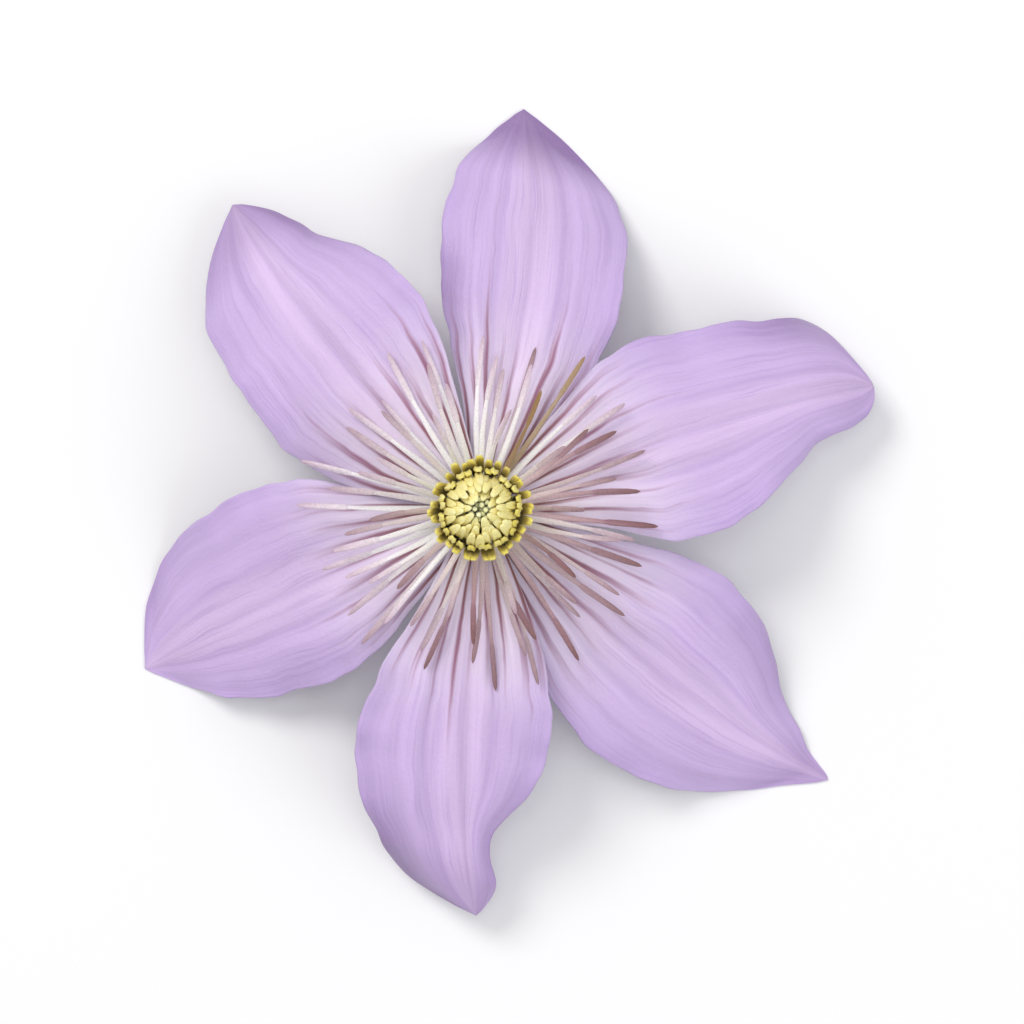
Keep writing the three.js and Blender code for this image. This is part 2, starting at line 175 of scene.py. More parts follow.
def smooth_through(places: Sequence[float], values: Any, at: Array) -> Array:
    """Read a smooth curve through values given at rising places.

    Args:
        places: the rising places.
        values: a number or a point for each place.
        at: the places to read.

    Returns:
        a number or a point for each place in at.
    """
    knots, given = np.asarray(places, float), np.asarray(values, float)
    before = np.maximum(np.arange(len(knots)) - 1, 0)
    after = np.minimum(np.arange(len(knots)) + 1, len(knots) - 1)
    slopes = ((given[after] - given[before]).T / (knots[after] - knots[before])).T
    i = np.clip(np.searchsorted(knots, at, side="right") - 1, 0, len(knots) - 2)
    span = knots[i + 1] - knots[i]
    k = (at - knots[i]) / span
    if given.ndim > 1:
        span, k = span[:, None], k[:, None]
    return (
        given[i] * (1 + 2 * k) * (1 - k) ** 2
        + slopes[i] * span * k * (1 - k) ** 2
        + given[i + 1] * k * k * (3 - 2 * k)
        + slopes[i + 1] * span * k * k * (k - 1)
    )


def smooth_step(low: float, high: float, value: Array) -> Array:
    """Rise softly from 0 at low to 1 at high, or fall where high is the lower one."""
    k = np.clip((value - low) / (high - low), 0, 1)
    return k * k * (3 - 2 * k)


def hump(value: Array, place: float, half_width: float) -> Array:
    """A soft hump of height 1 at a place."""
    return np.exp(-(((value - place) / half_width) ** 2))


def compass(turn: float) -> tuple[Array, Array]:
    """The level directions outwards and to the left at a turn round the flower, in radians."""
    return np.array((math.cos(turn), math.sin(turn), 0.0)), np.array((-math.sin(turn), math.cos(turn), 0.0))


def bezier(t: Array, *points: Any) -> Array:
    """A curve pulled towards three or four points, at each t from 0 to 1."""
    n = len(points) - 1
    return sum(math.comb(n, k) * (1 - t) ** (n - k) * t**k * point for k, point in enumerate(points))


def points_of(obj: bpy.types.Object) -> Array:
    """Read a mesh object's points.

    Args:
        obj: the object.

    Returns:
        one row for each point.
    """
    flat = np.empty(len(obj.data.vertices) * 3)
    obj.data.vertices.foreach_get("co", flat)
    return flat.reshape(-1, 3)


def seat(obj: bpy.types.Object, points: Array) -> None:
    """Write points into a mesh that stays at the origin.

    Args:
        obj: the mesh's object.
        points: a row for each point, in millimetres round the flower's axis.
    """
    placed = (points + (*FLOWER_AXIS, 0)) * MM
    obj.data.vertices.foreach_set("co", placed.ravel())
    obj.data.update()


def note(obj: bpy.types.Object, name: str, values: Array) -> None:
    """Keep a number for each point of a mesh, for its finish to read."""
    attribute = obj.data.attributes.new(name, "FLOAT", "POINT")
    attribute.data.foreach_set("value", np.asarray(values, float))


def pick(*objects: bpy.types.Object) -> None:
    """Select some objects alone, or none, and make the last one active.

    Args:
        objects: the objects.
    """
    bpy.ops.object.select_all(action="DESELECT")
    for obj in objects:
        obj.select_set(True)
        bpy.context.view_layer.objects.active = obj


def apply_modifier(obj: bpy.types.Object, kind: str, **settings: Any) -> None:
    """Add a modifier to an object and apply it.

    Args:
        obj: the object.
        kind: the modifier's type.
        settings: the modifier's own settings.
    """
    modifier = obj.modifiers.new(kind.title(), kind)
    for name, value in settings.items():
        setattr(modifier, name, value)
    pick(obj)
    bpy.ops.object.modifier_apply(modifier=modifier.name)


def finished(obj: bpy.types.Object, slot: str, *nodes: str) -> bpy.types.Object:
    """Hand a finished piece to the frame.

    Args:
        obj: the piece.
        slot: not used.
        nodes: the frame's nodes that it stands for.

    Returns:
        the same piece.
    """
    pick(obj)
    bpy.ops.object.shade_smooth()
    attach(obj, BODY)
    if nodes:
        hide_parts(*nodes)
    LOG.info("%s: %d points", obj.name, len(obj.data.vertices))
    return obj


# ---------------------------------------------------------------- finishes


@dataclass(frozen=True)
class Finish:
    """A surface finish. Its name is its material's name."""

    name: str = "finish"

    def material(self) -> bpy.types.Material:
        """Find the finish's material, or make it the first time.

        Returns:
            the material.
        """
        known = bpy.data.materials.get(self.name)
        if known:
            return known
        material = bpy.data.materials.new(self.name)
        material.use_nodes = True
        tree = material.node_tree
        plug(tree, tree.nodes["Principled BSDF"], self.look(tree))
        return material

    def look(self, tree: Tree) -> Sockets:
        """What the shader's inputs get."""
        raise NotImplementedError

    @staticmethod
    def soaked(weight: float, radius: tuple[float, float, float], depth: float) -> Sockets:
        """How light soaks into living tissue, to a depth in millimetres."""
        return {"Subsurface Weight": weight, "Subsurface Radius": radius, "Subsurface Scale": depth * MM}


class SepalMap(NamedTuple):
    """What a sepal's finish reads at each spot."""

    share: Socket
    across: Socket
    edge: Socket
    place: Socket
    seed: Socket


@dataclass(frozen=True)
class SepalTissue(Finish):
    """What the face and the back of a sepal share: the map that they are painted by."""

    def spot(self, tree: Tree) -> SepalMap:
        """Read the sepal's own map.

        Args:
            tree: the material's node tree.

        Returns:
            the share, the place across, the nearness to a margin, the place in space and the seed.
        """
        uv = add_node(tree, "UVMap", uv_map="UVMap")[0]
        share, over, _ = add_node(tree, "SeparateXYZ", (uv,))[:3]
        across = add_node(tree, "Math", (over, 2.0, -1.0), operation="MULTIPLY_ADD")[0]
        edge = add_node(tree, "Math", (across,), operation="ABSOLUTE")[0]
        place = add_node(tree, "TexCoord")["Object"]
        seed = add_node(tree, "Attribute", attribute_name="seed")["Fac"]
        return SepalMap(share, across, edge, place, seed)

    def strands(self, tree: Tree, spot: SepalMap, bent: Socket, *shape: float) -> Socket:
        """Draw a noise out along the sepal.

        Args:
            tree: the material's node tree.
            spot: the sepal's map.
            bent: the place across, wandering as the veins do.
            shape: how fast it changes across the sepal and along it, and its detail.

        Returns:
            the noise.
        """
        pace, stretch, detail = shape
        over = add_node(tree, "Math", (bent, pace, spot.seed), operation="MULTIPLY_ADD")[0]
        along = add_node(tree, "Math", (spot.share, stretch), operation="MULTIPLY")[0]
        at = add_node(tree, "CombineXYZ", (over, along))[0]
        return add_node(tree, "TexNoise", {"Vector": at, "Scale": 1.0, "Detail": detail})["Fac"]


# Thin satin tissue, lilac, with a pinker bar. To the eye: a soft sheen that follows the ribs, colour
# that gathers in fine veins, plum streaks that run out of a whitish foot, and a deeper purple towards the
# tips. That purple is made stronger as painted shade where margins roll down and on the darkest tips.
@dataclass(frozen=True)
class SepalFace(SepalTissue):
    """The face of a sepal."""

    name: str = "sepal_face_satin_tissue"
    body: Colours = (
        (0.0, "#F3ECF0"), (0.22, "#DECDE6"), (0.5, "#CCB4DE"), (0.82, "#CBB2DE"), (1.0, "#C4ABD7"),
    )
    bar: str = "#DBC3E3"
    margin: str = "#B8A0D4"
    vein: str = "#A486C2"
    whitish: str = "#F0E6F4"
    plum: str = "#9E6E88"
    foot: str = "#936458"
    # flush: the deeper purple of the tips, and painted shade in rolled margins and on the darkest tips
    flush: str = "#86699A"
    streaks: float = 9.0  # across one sepal
    cloud: float = 8.0  # millimetres: soft patches, which also make the veins wander
    sparkle: float = 0.476  # millimetres: the tissue's grain
    wander: float = 0.11  # of the half-width
    fine_veins: tuple[float, ...] = (34.0, 3.2, 1.5)  # about 0.4 mm apart
    bands: tuple[float, ...] = (5.5, 1.6, 2.5)  # some 2 mm wide
    rib_place: float = 0.34

    def streak(self, tree: Tree, spot: SepalMap, bent: Socket) -> Socket:
        """Draw the plum streaks at the foot.

        Args:
            tree: the material's node tree.
            spot: the sepal's map.
            bent: the place across, wandering as the veins do.

        Returns:
            how far each spot is in a streak.
        """
        add = partial(add_node, tree)
        # Each streak has a reach of its own, read from a noise that only changes across the sepal.
        at = add("Math", (spot.across, self.streaks, spot.seed), operation="MULTIPLY_ADD")[0]
        luck = add("TexNoise", {"W": at, "Scale": 1.0, "Detail": 2.0}, noise_dimensions="1D")["Fac"]
        reach = add("Math", (luck, 0.6, 0.14), operation="MULTIPLY_ADD")[0]
        start = add("Math", (reach, -0.28), operation="ADD")[0]
        fade = add("MapRange", (spot.share, start, reach, 1.0, 0.0), interpolation_type="SMOOTHSTEP")[0]
        turn = add("Math", (bent, math.pi * self.streaks, spot.seed), operation="MULTIPLY_ADD")[0]
        wave = add("Math", (turn,), operation="SINE")[0]
        stripe = add("MapRange", (wave, 0.0, 0.9, 0.0, 1.0))[0]
        return add("Math", (stripe, fade), operation="MULTIPLY")[0]

    def look(self, tree: Tree) -> Sockets:
        """Paint by the sepal's own map.

        Args:
            tree: the material's node tree.

        Returns:
            what the shader's inputs get.
        """
        add = partial(add_node, tree)
        spot = self.spot(tree)
        cloud, grain = (
            add("TexNoise", {"Vector": spot.place, "Scale": per_metre(size), "Detail": detail})["Fac"]
            for size, detail in ((self.cloud, 3.0), (self.sparkle, 2.0))
        )
        wander = add("Math", (cloud, self.wander, -self.wander / 2), operation="MULTIPLY_ADD")[0]
        bent = add("Math", (spot.across, wander), operation="ADD")[0]

        thread = self.strands(tree, spot, bent, *self.fine_veins)
        fine = add("MapRange", (thread, 0.5, 0.72, 0.0, 1.0))[0]
        patchy = add("MapRange", (cloud, 0.35, 0.7, 0.1, 0.42))[0]
        fine_seen = add("Math", (fine, patchy), operation="MULTIPLY")[0]

        # The nearest of the three ribs of the bar.
        beside = add("Math", (spot.edge, self.rib_place), operation="SUBTRACT")[0]
        near = add("Math", (beside,), operation="ABSOLUTE")[0]
        close = add("Math", (near, spot.edge), operation="MINIMUM")[0]

        rib, to_margin, to_bar, pale, at_foot = (
            add("MapRange", spread, interpolation_type="SMOOTHSTEP")[0]
            for spread in (
                (close, 0.0, 0.06, 0.2, 0.0),
                (spot.edge, 0.5, 1.0, 0.0, 0.45),
                (spot.edge, 0.0, 0.5, 0.55, 0.0),
                (spot.share, 0.04, 0.48, 0.75, 0.0),
                (spot.share, 0.03, 0.3, 1.0, 0.0),
            )
        )
        # The flush holds the deeper purple of the tips, and painted shade where margins roll down and on the
        # darkest tips.
        flush = add("Attribute", attribute_name="flush")["Fac"]
        plum = add("Mix", {0: at_foot, 6: self.plum, 7: self.foot}, data_type="RGBA")[2]
        colour = add("ValToRGB", (spot.share,), stops=self.body)[0]
        for amount, layer in (
            (to_margin, self.margin), (to_bar, self.bar), (rib, self.vein), (fine_seen, self.vein),
            (pale, self.whitish), (self.streak(tree, spot, bent), plum), (flush, self.flush),
        ):
            colour = add("Mix", {0: amount, 6: colour, 7: layer}, data_type="RGBA")[2]
        band = self.strands(tree, spot, bent, *self.bands)
        light = add("MapRange", (band, 0.3, 0.7, 0.9, 1.08))[0]
        colour = add("HueSaturation", {"Value": light, "Color": colour})[0]

        height = add("Math", (fine, 0.5, grain), operation="MULTIPLY_ADD")[0]
        bump = add("Bump", {"Strength": 0.32, "Distance": 0.2 * MM, "Height": height})[0]
        return {
            "Base Color": colour, "Normal": bump, "Roughness": 0.5, "IOR": 1.42, "Specular IOR Level": 0.35,
            "Sheen Weight": 0.18, "Sheen Roughness": 0.5, **self.soaked(0.15, (1.0, 0.7, 1.1), 0.6),
        }


# The same tissue under a fine down. To the eye: paler and matt, silky where light grazes it, with a
# greenish middle bar and soft purple veins.
@dataclass(frozen=True)
class SepalBack(SepalTissue):
    """The back of a sepal."""

    name: str = "sepal_back_downy_tissue"
    body: Colours = ((0.0, "#C9CBB4"), (0.12, "#D3CBD9"), (0.5, "#CDBEDF"), (1.0, "#B9A2D2"))
    bar: str = "#C4C6AC"
    vein: str = "#9A7CBA"
    cloud: float = 6.25  # millimetres
    down: float = 0.385  # millimetres: down too fine to model on the whole back, drawn as a grain
    wander: float = 0.12
    veins: tuple[float, ...] = (21.0, 1.8, 2.0)

    def look(self, tree: Tree) -> Sockets:
        """Paint by the sepal's own map, which the back shares with the face.

        Args:
            tree: the material's node tree.

        Returns:
            what the shader's inputs get.
        """
        add = partial(add_node, tree)
        spot = self.spot(tree)
        cloud, down = (
            add("TexNoise", {"Vector": spot.place, "Scale": per_metre(size), "Detail": 3.0})["Fac"]
            for size in (self.cloud, self.down)
        )
        bent = add("Math", (cloud, self.wander, spot.across), operation="MULTIPLY_ADD")[0]
        line = add("MapRange", (self.strands(tree, spot, bent, *self.veins), 0.48, 0.72, 0.0, 0.45))[0]
        to_bar = add("MapRange", (spot.edge, 0.1, 0.42, 0.7, 0.0), interpolation_type="SMOOTHSTEP")[0]
        bar_end = add("MapRange", (spot.share, 0.25, 1.0, 1.0, 0.15))[0]
        bar_seen = add("Math", (to_bar, bar_end), operation="MULTIPLY")[0]

        colour = add("ValToRGB", (spot.share,), stops=self.body)[0]
        for amount, layer in ((bar_seen, self.bar), (line, self.vein)):
            colour = add("Mix", {0: amount, 6: colour, 7: layer}, data_type="RGBA")[2]
        light = add("MapRange", (down, 0.3, 0.7, 0.93, 1.05))[0]
        colour = add("HueSaturation", {"Value": light, "Color": colour})[0]
        bump = add("Bump", {"Strength": 0.4, "Distance": 0.2 * MM, "Height": down})[0]
        return {
            "Base Color": colour, "Normal": bump, "Roughness": 0.7, "IOR": 1.4, "Specular IOR Level": 0.25,
            "Sheen Weight": 0.4, "Sheen Roughness": 0.45, **self.soaked(0.15, (1.0, 0.7, 1.1), 0.6),
        }


@dataclass(frozen=True)
class LimbTissue(Finish):
    """Smooth plant tissue that changes colour along each limb, and a little from limb to limb."""

    along: Colours = ()
    other: Colours = ()
    grain: float = 0.25  # millimetres
    withered: str = "#9A7A3C"
    strength: float = 0.3
    roughness: float = 0.5
    sheen: float = 0.1
    contrast: float = 0.08

    def look(self, tree: Tree) -> Sockets:
        """Paint by the limb's share, and mix in the other colours by its tint.

        Args:
            tree: the material's node tree.

        Returns:
            what the shader's inputs get.
        """
        add = partial(add_node, tree)
        share, tint, dry = (
            add("Attribute", attribute_name=name)["Fac"] for name in ("along", "tint", "dry")
        )
        place = add("TexCoord")["Object"]
        grain = add("TexNoise", {"Vector": place, "Scale": per_metre(self.grain), "Detail": 2.0})["Fac"]
        first, second = (add("ValToRGB", (share,), stops=stops)[0] for stops in (self.along, self.other))
        colour = first
        for amount, layer in ((tint, second), (dry, self.withered)):
            colour = add("Mix", {0: amount, 6: colour, 7: layer}, data_type="RGBA")[2]
        light = add("MapRange", (grain, 0.3, 0.7, 1 - self.contrast, 1 + self.contrast))[0]
        colour = add("HueSaturation", {"Value": light, "Color": colour})[0]
        bump = add("Bump", {"Strength": self.strength, "Distance": 0.1 * MM, "Height": grain})[0]
        return {
            "Base Color": colour, "Normal": bump, "Roughness": self.roughness, "IOR": 1.42,
            "Specular IOR Level": 0.35, "Sheen Weight": self.sheen, "Sheen Roughness": 0.5,
            **self.soaked(0.2, (1.0, 0.9, 0.8), 0.4),
        }


# Slim flattened filaments. To the eye: white and slightly waxy at the foot, mauve towards the anther,
# and some flushed with plum. The plum is more common on the side away from the key light, as painted shade.
SPREADING_FILAMENT = LimbTissue(
    name="spreading_filament_tissue",
    along=((0.0, "#FBF8F0"), (0.2, "#FFFEFC"), (0.5, "#FBF6F8")),
    other=((0.0, "#F4ECEA"), (0.2, "#D8BEC2"), (0.5, "#AE8A92")),
)
# Open anther sacs. To the eye: dry and matt, from a pale mauve pink to plum-brown, browner on the side away
# from the key light as painted shade.
SPREADING_ANTHER = LimbTissue(
    name="spreading_anther_open_sacs",
    along=((0.5, "#F0E6EC"), (0.8, "#E0CEDA"), (1.0, "#CBB2C2")),
    other=((0.5, "#A47E88"), (0.8, "#90696E"), (1.0, "#7C5856")),
    grain=0.3, strength=0.4, roughness=0.7, sheen=0.2, contrast=0.1,
)
# Slim stalks inside the brush. To the eye: cream with a green cast from the light between them.
BRUSH_FILAMENT = LimbTissue(
    name="brush_filament_tissue",
    along=((0.0, "#D5D6A0"), (0.5, "#E6E2B8")),
    other=((0.0, "#C9CB8C"), (0.5, "#D5D19A")),
)
# Anthers dusted with pollen. To the eye: powdery, pale yellow inside the brush, olive on its outer side. The
# darker olive of the outer rings is partly painted shade, for where those anthers lie lower and outside the
# rest.
BRUSH_ANTHER = LimbTissue(
    name="brush_anther_pollen_dusted",
    along=((0.5, "#EADB78"), (0.85, "#F6E891"), (1.0, "#FCF3B4")),
    other=((0.5, "#CCBC42"), (0.85, "#DDCC4C"), (1.0, "#EBDC66")),
    grain=0.22, strength=0.6, roughness=0.8, sheen=0.25, contrast=0.12,
)
# Styles under silky hairs. To the eye: a pale green tuft with a soft bright rim.
STYLE_TISSUE = LimbTissue(
    name="style_silky_tissue",
    along=((0.0, "#A4AE60"), (0.6, "#DCDE98"), (1.0, "#F4F2BC")),
    other=((0.0, "#96A054"), (0.6, "#CED284"), (1.0, "#E8E6A6")),
    sheen=0.3,
)
# Fine white hairs. To the eye: a faint bright fringe on the outline.
PLANT_DOWN = LimbTissue(
    name="plant_down_silky_hairs",
    along=((0.0, "#DADCC0"), (1.0, "#F4F2E4")),
    other=((0.0, "#CFC9BC"), (1.0, "#EDE6DC")),
    strength=0.0, roughness=0.45, sheen=0.3,
)


# Green plant skin. To the eye: satin, finely striped along its fibres, flushed purple-brown on its ribs.
@dataclass(frozen=True)
class StalkSkin(Finish):
    """The skin of the stalk and the receptacle."""

    name: str = "stalk_fibrous_skin"
    green: str = "#76803C"
    pale: str = "#969A56"
    flush: str = "#6C4A3A"
    cloud: float = 4.55  # millimetres
    fibres: tuple[float, float] = (5.0, 2.0)  # 0.2 mm wide and some 4 mm long: their scale and stretch

    def look(self, tree: Tree) -> Sockets:
        """Paint by the share along the stalk, the ribs round it and clouds in its skin.

        Args:
            tree: the material's node tree.

        Returns:
            what the shader's inputs get.
        """
        add = partial(add_node, tree)
        share, rib, round_x, round_y = (
            add("Attribute", attribute_name=name)["Fac"] for name in ("along", "rib", "round_x", "round_y")
        )
        place = add("TexCoord")["Object"]
        cloud = add("TexNoise", {"Vector": place, "Scale": per_metre(self.cloud), "Detail": 3.0})["Fac"]
        # The fibres are drawn on a ring, which closes round the stalk.
        scale, stretch = self.fibres
        lengthwise = add("Math", (share, stretch), operation="MULTIPLY")[0]
        grid = add("CombineXYZ", (round_x, round_y, lengthwise))[0]
        fibre = add("TexNoise", {"Vector": grid, "Scale": scale, "Detail": 2.0})["Fac"]
        patches = add("MapRange", (cloud, 0.45, 0.68, 0.0, 1.0))[0]
        flushed = add("Math", (rib, 0.45, patches), operation="MULTIPLY_ADD")[0]
        amount = add("Math", (flushed, 0.6), operation="MULTIPLY", use_clamp=True)[0]
        stripe = add("MapRange", (fibre, 0.35, 0.65, 0.0, 1.0))[0]
        colour: Any = self.green
        for weight, layer in ((stripe, self.pale), (amount, self.flush)):
            colour = add("Mix", {0: weight, 6: colour, 7: layer}, data_type="RGBA")[2]
        bump = add("Bump", {"Strength": 0.5, "Distance": 0.15 * MM, "Height": fibre})[0]
        return {
            "Base Color": colour, "Normal": bump, "Roughness": 0.5, "IOR": 1.42, "Specular IOR Level": 0.4,
            "Sheen Weight": 0.2, **self.soaked(0.1, (0.8, 1.0, 0.4), 0.6),
        }


# A fresh cut. To the eye: moist and pale, with a fine net of green vessels.
@dataclass(frozen=True)
class CutPith(Finish):
    """The pith at the stalk's cut end."""

    name: str = "stalk_cut_pith"
    pith: str = "#DEE0B8"
    vessels: str = "#A9B272"
    pores: float = 0.105  # millimetres

    def look(self, tree: Tree) -> Sockets:
        """Paint the pores.

        Args:
            tree: the material's node tree.

        Returns:
            what the shader's inputs get.
        """
        add = partial(add_node, tree)
        place = add("TexCoord")["Object"]
        pores = add("TexVoronoi", {"Vector": place, "Scale": per_metre(self.pores)})["Distance"]
        amount = add("MapRange", (pores, 0.2, 0.75, 0.0, 0.6))[0]
        colour = add("Mix", {0: amount, 6: self.pith, 7: self.vessels}, data_type="RGBA")[2]
        bump = add("Bump", {"Strength": 0.4, "Distance": 0.1 * MM, "Height": pores})[0]
        return {"Base Color": colour, "Normal": bump, "Roughness": 0.35}


# Matt white board. To the eye: an even pale ground that takes soft shadows.
@dataclass(frozen=True)
class PaleFloor(Finish):
    """The floor under the flower."""

    name: str = "floor_matt_board"
    colour: str = "#F4F4F4"

    def look(self, tree: Tree) -> Sockets:
        """Plain, with hardly any gloss."""
        return {"Base Color": self.colour, "Roughness": 0.9, "Specular IOR Level": 0.1}


# ---------------------------------------------------------------- sepals


class Side(Enum):
    """A half of a sepal, as seen from its foot."""

    LEFT = 1
    RIGHT = -1


class Stance(NamedTuple):
    """How sepals stand: steps up from the lowest feet, the margins' lift at the foot, and the arch."""

    step: int
    margins: float
    crest: float
    droop: float


class Tier(Enum):
    """The two tiers of sepals."""

    OUTER = Stance(step=0, margins=-0.5, crest=5.6, droop=6.0)
    INNER = Stance(step=1, margins=0.5, crest=5.2, droop=4.0)


@dataclass(frozen=True)
class Spots:
    """Places on a sepal: how far along it each one is, and how far across."""

    share: Array
    across: Array

    @property
    def edge(self) -> Array:
        """How near each place is to a margin, from 0 on the middle line to 1."""
        return np.abs(self.across)

    def on(self, side: Side, values: Array | float) -> Array:
        """The values on one side of the middle line, and 0 on the other."""
        return np.where(self.across * side.value > 0, values, 0)

    def fade(self, start: float, full: float, ebb: float, end: float) -> Array:
        """Rise softly from 0 at the start to 1, and fall again from the ebb to the end."""
        return smooth_step(start, full, self.share) * smooth_step(end, ebb, self.share)


@dataclass(frozen=True)
class Roll:
    """A margin that rolls down: its side, the share where it does most, and how deep."""

    side: Side
    place: float
    depth: float


@dataclass(frozen=True)
class Half:
    """One half of a sepal: its half-widths at the stations, and the wave of its margin."""

    widths: tuple[float, ...]
    height: float  # of the wave
    waves: float  # from foot to tip
    start: float  # share of a wave that is past at the foot


@dataclass(frozen=True)
class Sepal:
    """One sepal, with the form that the frame's solid has and the relief of its ribs and veins."""

    name: str
    tier: Tier
    facing: float  # degrees round the flower
    reach: float  # of the tip from the flower's axis
    lean: float  # of the tip to the left
    tip: float  # height
    nod: float  # over the tip's height, before the sepal comes down to it
    twist: float  # degrees, at the tip
    left: Half
    right: Half
    rolls: tuple[Roll, ...] = ()
    # deeper purple at the tip; the higher values, as on sepal_1, add painted shade
    tip_flush_and_shade: float = 0.25
    bluntness: float = TIP_HALF_WIDTH

    # The sheet.
    divisions: tuple[int, int] = (190, 112)
    thickness: float = 0.5  # along the ribs
    margin_thickness: float = 0.22
    thickness_steps: int = 40
    lift: float = 0.12  # of the face over the solid's middle

    # The arch, and how it comes down on the surface.
    spine_start: float = 0.4  # share over which the sepal keeps the direction of its foot
    foot_hug: float = 2.45  # half-width over which the foot follows the receptacle
    tip_fall: float = -1.5  # of the margins
    tip_taper: float = 0.93  # from here the margins come back to the middle's height
    tip_round: float = 0.9
    roll_spread: float = 0.13
    pillow: float = 0.7  # of each half between the middle and the margin
    landing: float = 0.5  # height over which the sepal levels out
    clearance: float = 0.04

    # Ribs and veins: their places across, and half-widths in the same measure.
    rib_places: tuple[float, ...] = (0.0, 0.34, -0.34)
    rib_strengths: tuple[float, ...] = (1.0, 0.75, 0.75)
    rib_depth: float = 0.22
    rib_half_width: float = 0.085
    rib_head_start: float = 0.12  # ribs are sunken at the very foot, and end this far before the tip
    vein_places: tuple[float, ...] = (0.17, 0.47, 0.58, 0.68, 0.78, 0.88)
    vein_depth: float = 0.035
    vein_half_width: float = 0.022

    # Unevenness: how many waves, or their paces, and how high.
    swells: int = 9
    swell_height: float = 0.055
    bands: tuple[float, ...] = (6.5, 9.5, 13.0)
    band_height: float = 0.06
    frills: tuple[float, ...] = (3.7, 6.0, 9.0)
    frill_height: float = 1.5
    nibbles: tuple[float, ...] = (5, 8, 13)
    nibble_height: float = 0.55

    @property
    def length(self) -> float:
        """The sepal's length, seen from above."""
        return self.reach - CLAW_RADIUS

    def chance(self, use: int) -> np.random.Generator:
        """The sepal's own source of chance for one use."""
        return np.random.default_rng(int(self.facing * 10) + use)

    def spine(self, share: Array) -> Array:
        """Trace the sepal's middle line.

        Args:
            share: shares of the length.

        Returns:
            the height at each.
        """
        stance = self.tier.value
        foot = TIER_HEIGHT + stance.step * TIER_STEP
        bend = CLAW_RADIUS + self.spine_start * self.length
        t = np.linspace(0, 1, 600)
        radius = bezier(t, CLAW_RADIUS, bend, self.reach - stance.droop, self.reach)
        height = bezier(t, foot, foot + stance.crest, self.tip + self.nod, self.tip)
        return np.interp(CLAW_RADIUS + share * self.length, radius, height)

    def unevenness(self, at: Spots) -> Array:
        """Raise soft waves of the living tissue, stronger towards the margin.

        Args:
            at: the places.

        Returns:
            a height for each.
        """
        draw = self.chance(0)
        total = np.zeros_like(at.share)
        for _ in range(self.swells):
            along, over, phase = draw.uniform(2, 7), draw.uniform(-4, 4), draw.uniform(0, math.tau)
            total += np.sin(math.tau * along * at.share + over * at.across + phase) / (1 + 0.25 * along)
        bands = sum(
            np.sin(over * at.across + draw.uniform(0, 6) + draw.uniform(-2, 2) * at.share)
            for over in self.bands
        )
        swelling = total * self.swell_height * (0.6 + 0.9 * at.across**2)
        return (swelling + bands * self.band_height * (1 - at.across**6)) * at.fade(0.08, 0.4, 0.95, 1.0)

    def ruffle(self, at: Spots) -> Array:
        """Raise small frills close to each margin.

        Args:
            at: the places.

        Returns:
            a height for each.
        """
        draw = self.chance(1)
        total = np.zeros_like(at.share)
        for side in Side:
            for waves in self.frills:
                pace, phase = waves * draw.uniform(0.85, 1.15), draw.uniform(0, math.tau)
                wave = np.sin(math.tau * pace * at.share + phase) * self.frill_height / waves
                total += at.on(side, wave)
        return total * at.edge**4 * at.fade(0.3, 0.6, 0.9, 1.0)

    def half_width(self, at: Spots) -> Array:
        """Measure how far the margin on each place's side is from the middle line.

        Args:
            at: the places.

        Returns:
            a width for each.
        """
        widths = [
            smooth_through((0, *STATIONS, 1), (CLAW_HALF_WIDTH, *half.widths, self.bluntness), at.share)
            for half in (self.left, self.right)
        ]
        width = np.where(at.across > 0, *widths)
        # The very tip is rounded, and the margin is never quite even.
        start = 1 - max(self.bluntness, self.tip_round) / self.length
        rounded = np.sqrt(np.clip(1 - (np.clip(at.share - start, 0, 1) / (1 - start)) ** 2, 0.02, 1))
        draw = self.chance(2)
        nibble = sum(
            np.sin(math.tau * waves * at.share + draw.uniform(0, 6) + at.on(Side.LEFT, 1.7)) / waves
            for waves in self.nibbles
        )
        return width * rounded + nibble * self.nibble_height * at.fade(0.15, 0.4, 0.93, 1.0)

    def relief(self, at: Spots, beside: Array) -> Array:
        """Lift the face off a plain arched sheet.

        Args:
            at: the places.
            beside: how far each is from the middle line.

        Returns:
            a height for each.
        """
        lengthwise = np.sin(math.pi * np.minimum(at.share + self.rib_head_start, 1))
        ribs = sum(
            strength * hump(at.across, place, self.rib_half_width)
            for strength, place in zip(self.rib_strengths, self.rib_places)
        )
        veins = sum(hump(at.edge, place, self.vein_half_width) for place in self.vein_places)
        total = at.edge**2 * (self.tier.value.margins * (1 - at.share) + self.tip_fall * at.share**2)
        for side, half in zip(Side, (self.left, self.right)):
            wave = half.height * np.sin(math.tau * (half.waves * at.share + half.start))
            total += at.on(side, wave) * at.edge**2.5 * smooth_step(0.35, 0.65, at.share)
        for roll in self.rolls:
            total -= at.on(roll.side, roll.depth * at.edge**2 * hump(at.share, roll.place, self.roll_spread))
        total *= smooth_step(1.0, self.tip_taper, at.share)
        total -= (self.rib_depth * ribs + self.vein_depth * veins) * lengthwise
        total += self.pillow * np.sin(math.pi * at.edge) * np.sin(math.pi * at.share)
        return total + beside * math.tan(math.radians(self.twist)) * at.share

    def thickness_at(self, at: Spots) -> Array:
        """Weigh how far the ribs make the sheet thicker than at its margin, from 0 to 1."""
        ribs = sum(hump(at.across, place, self.rib_half_width) for place in self.rib_places)
        return np.clip(0.35 * (1 - at.edge) + 0.75 * ribs, 0, 1) * smooth_step(1.0, 0.94, at.share)

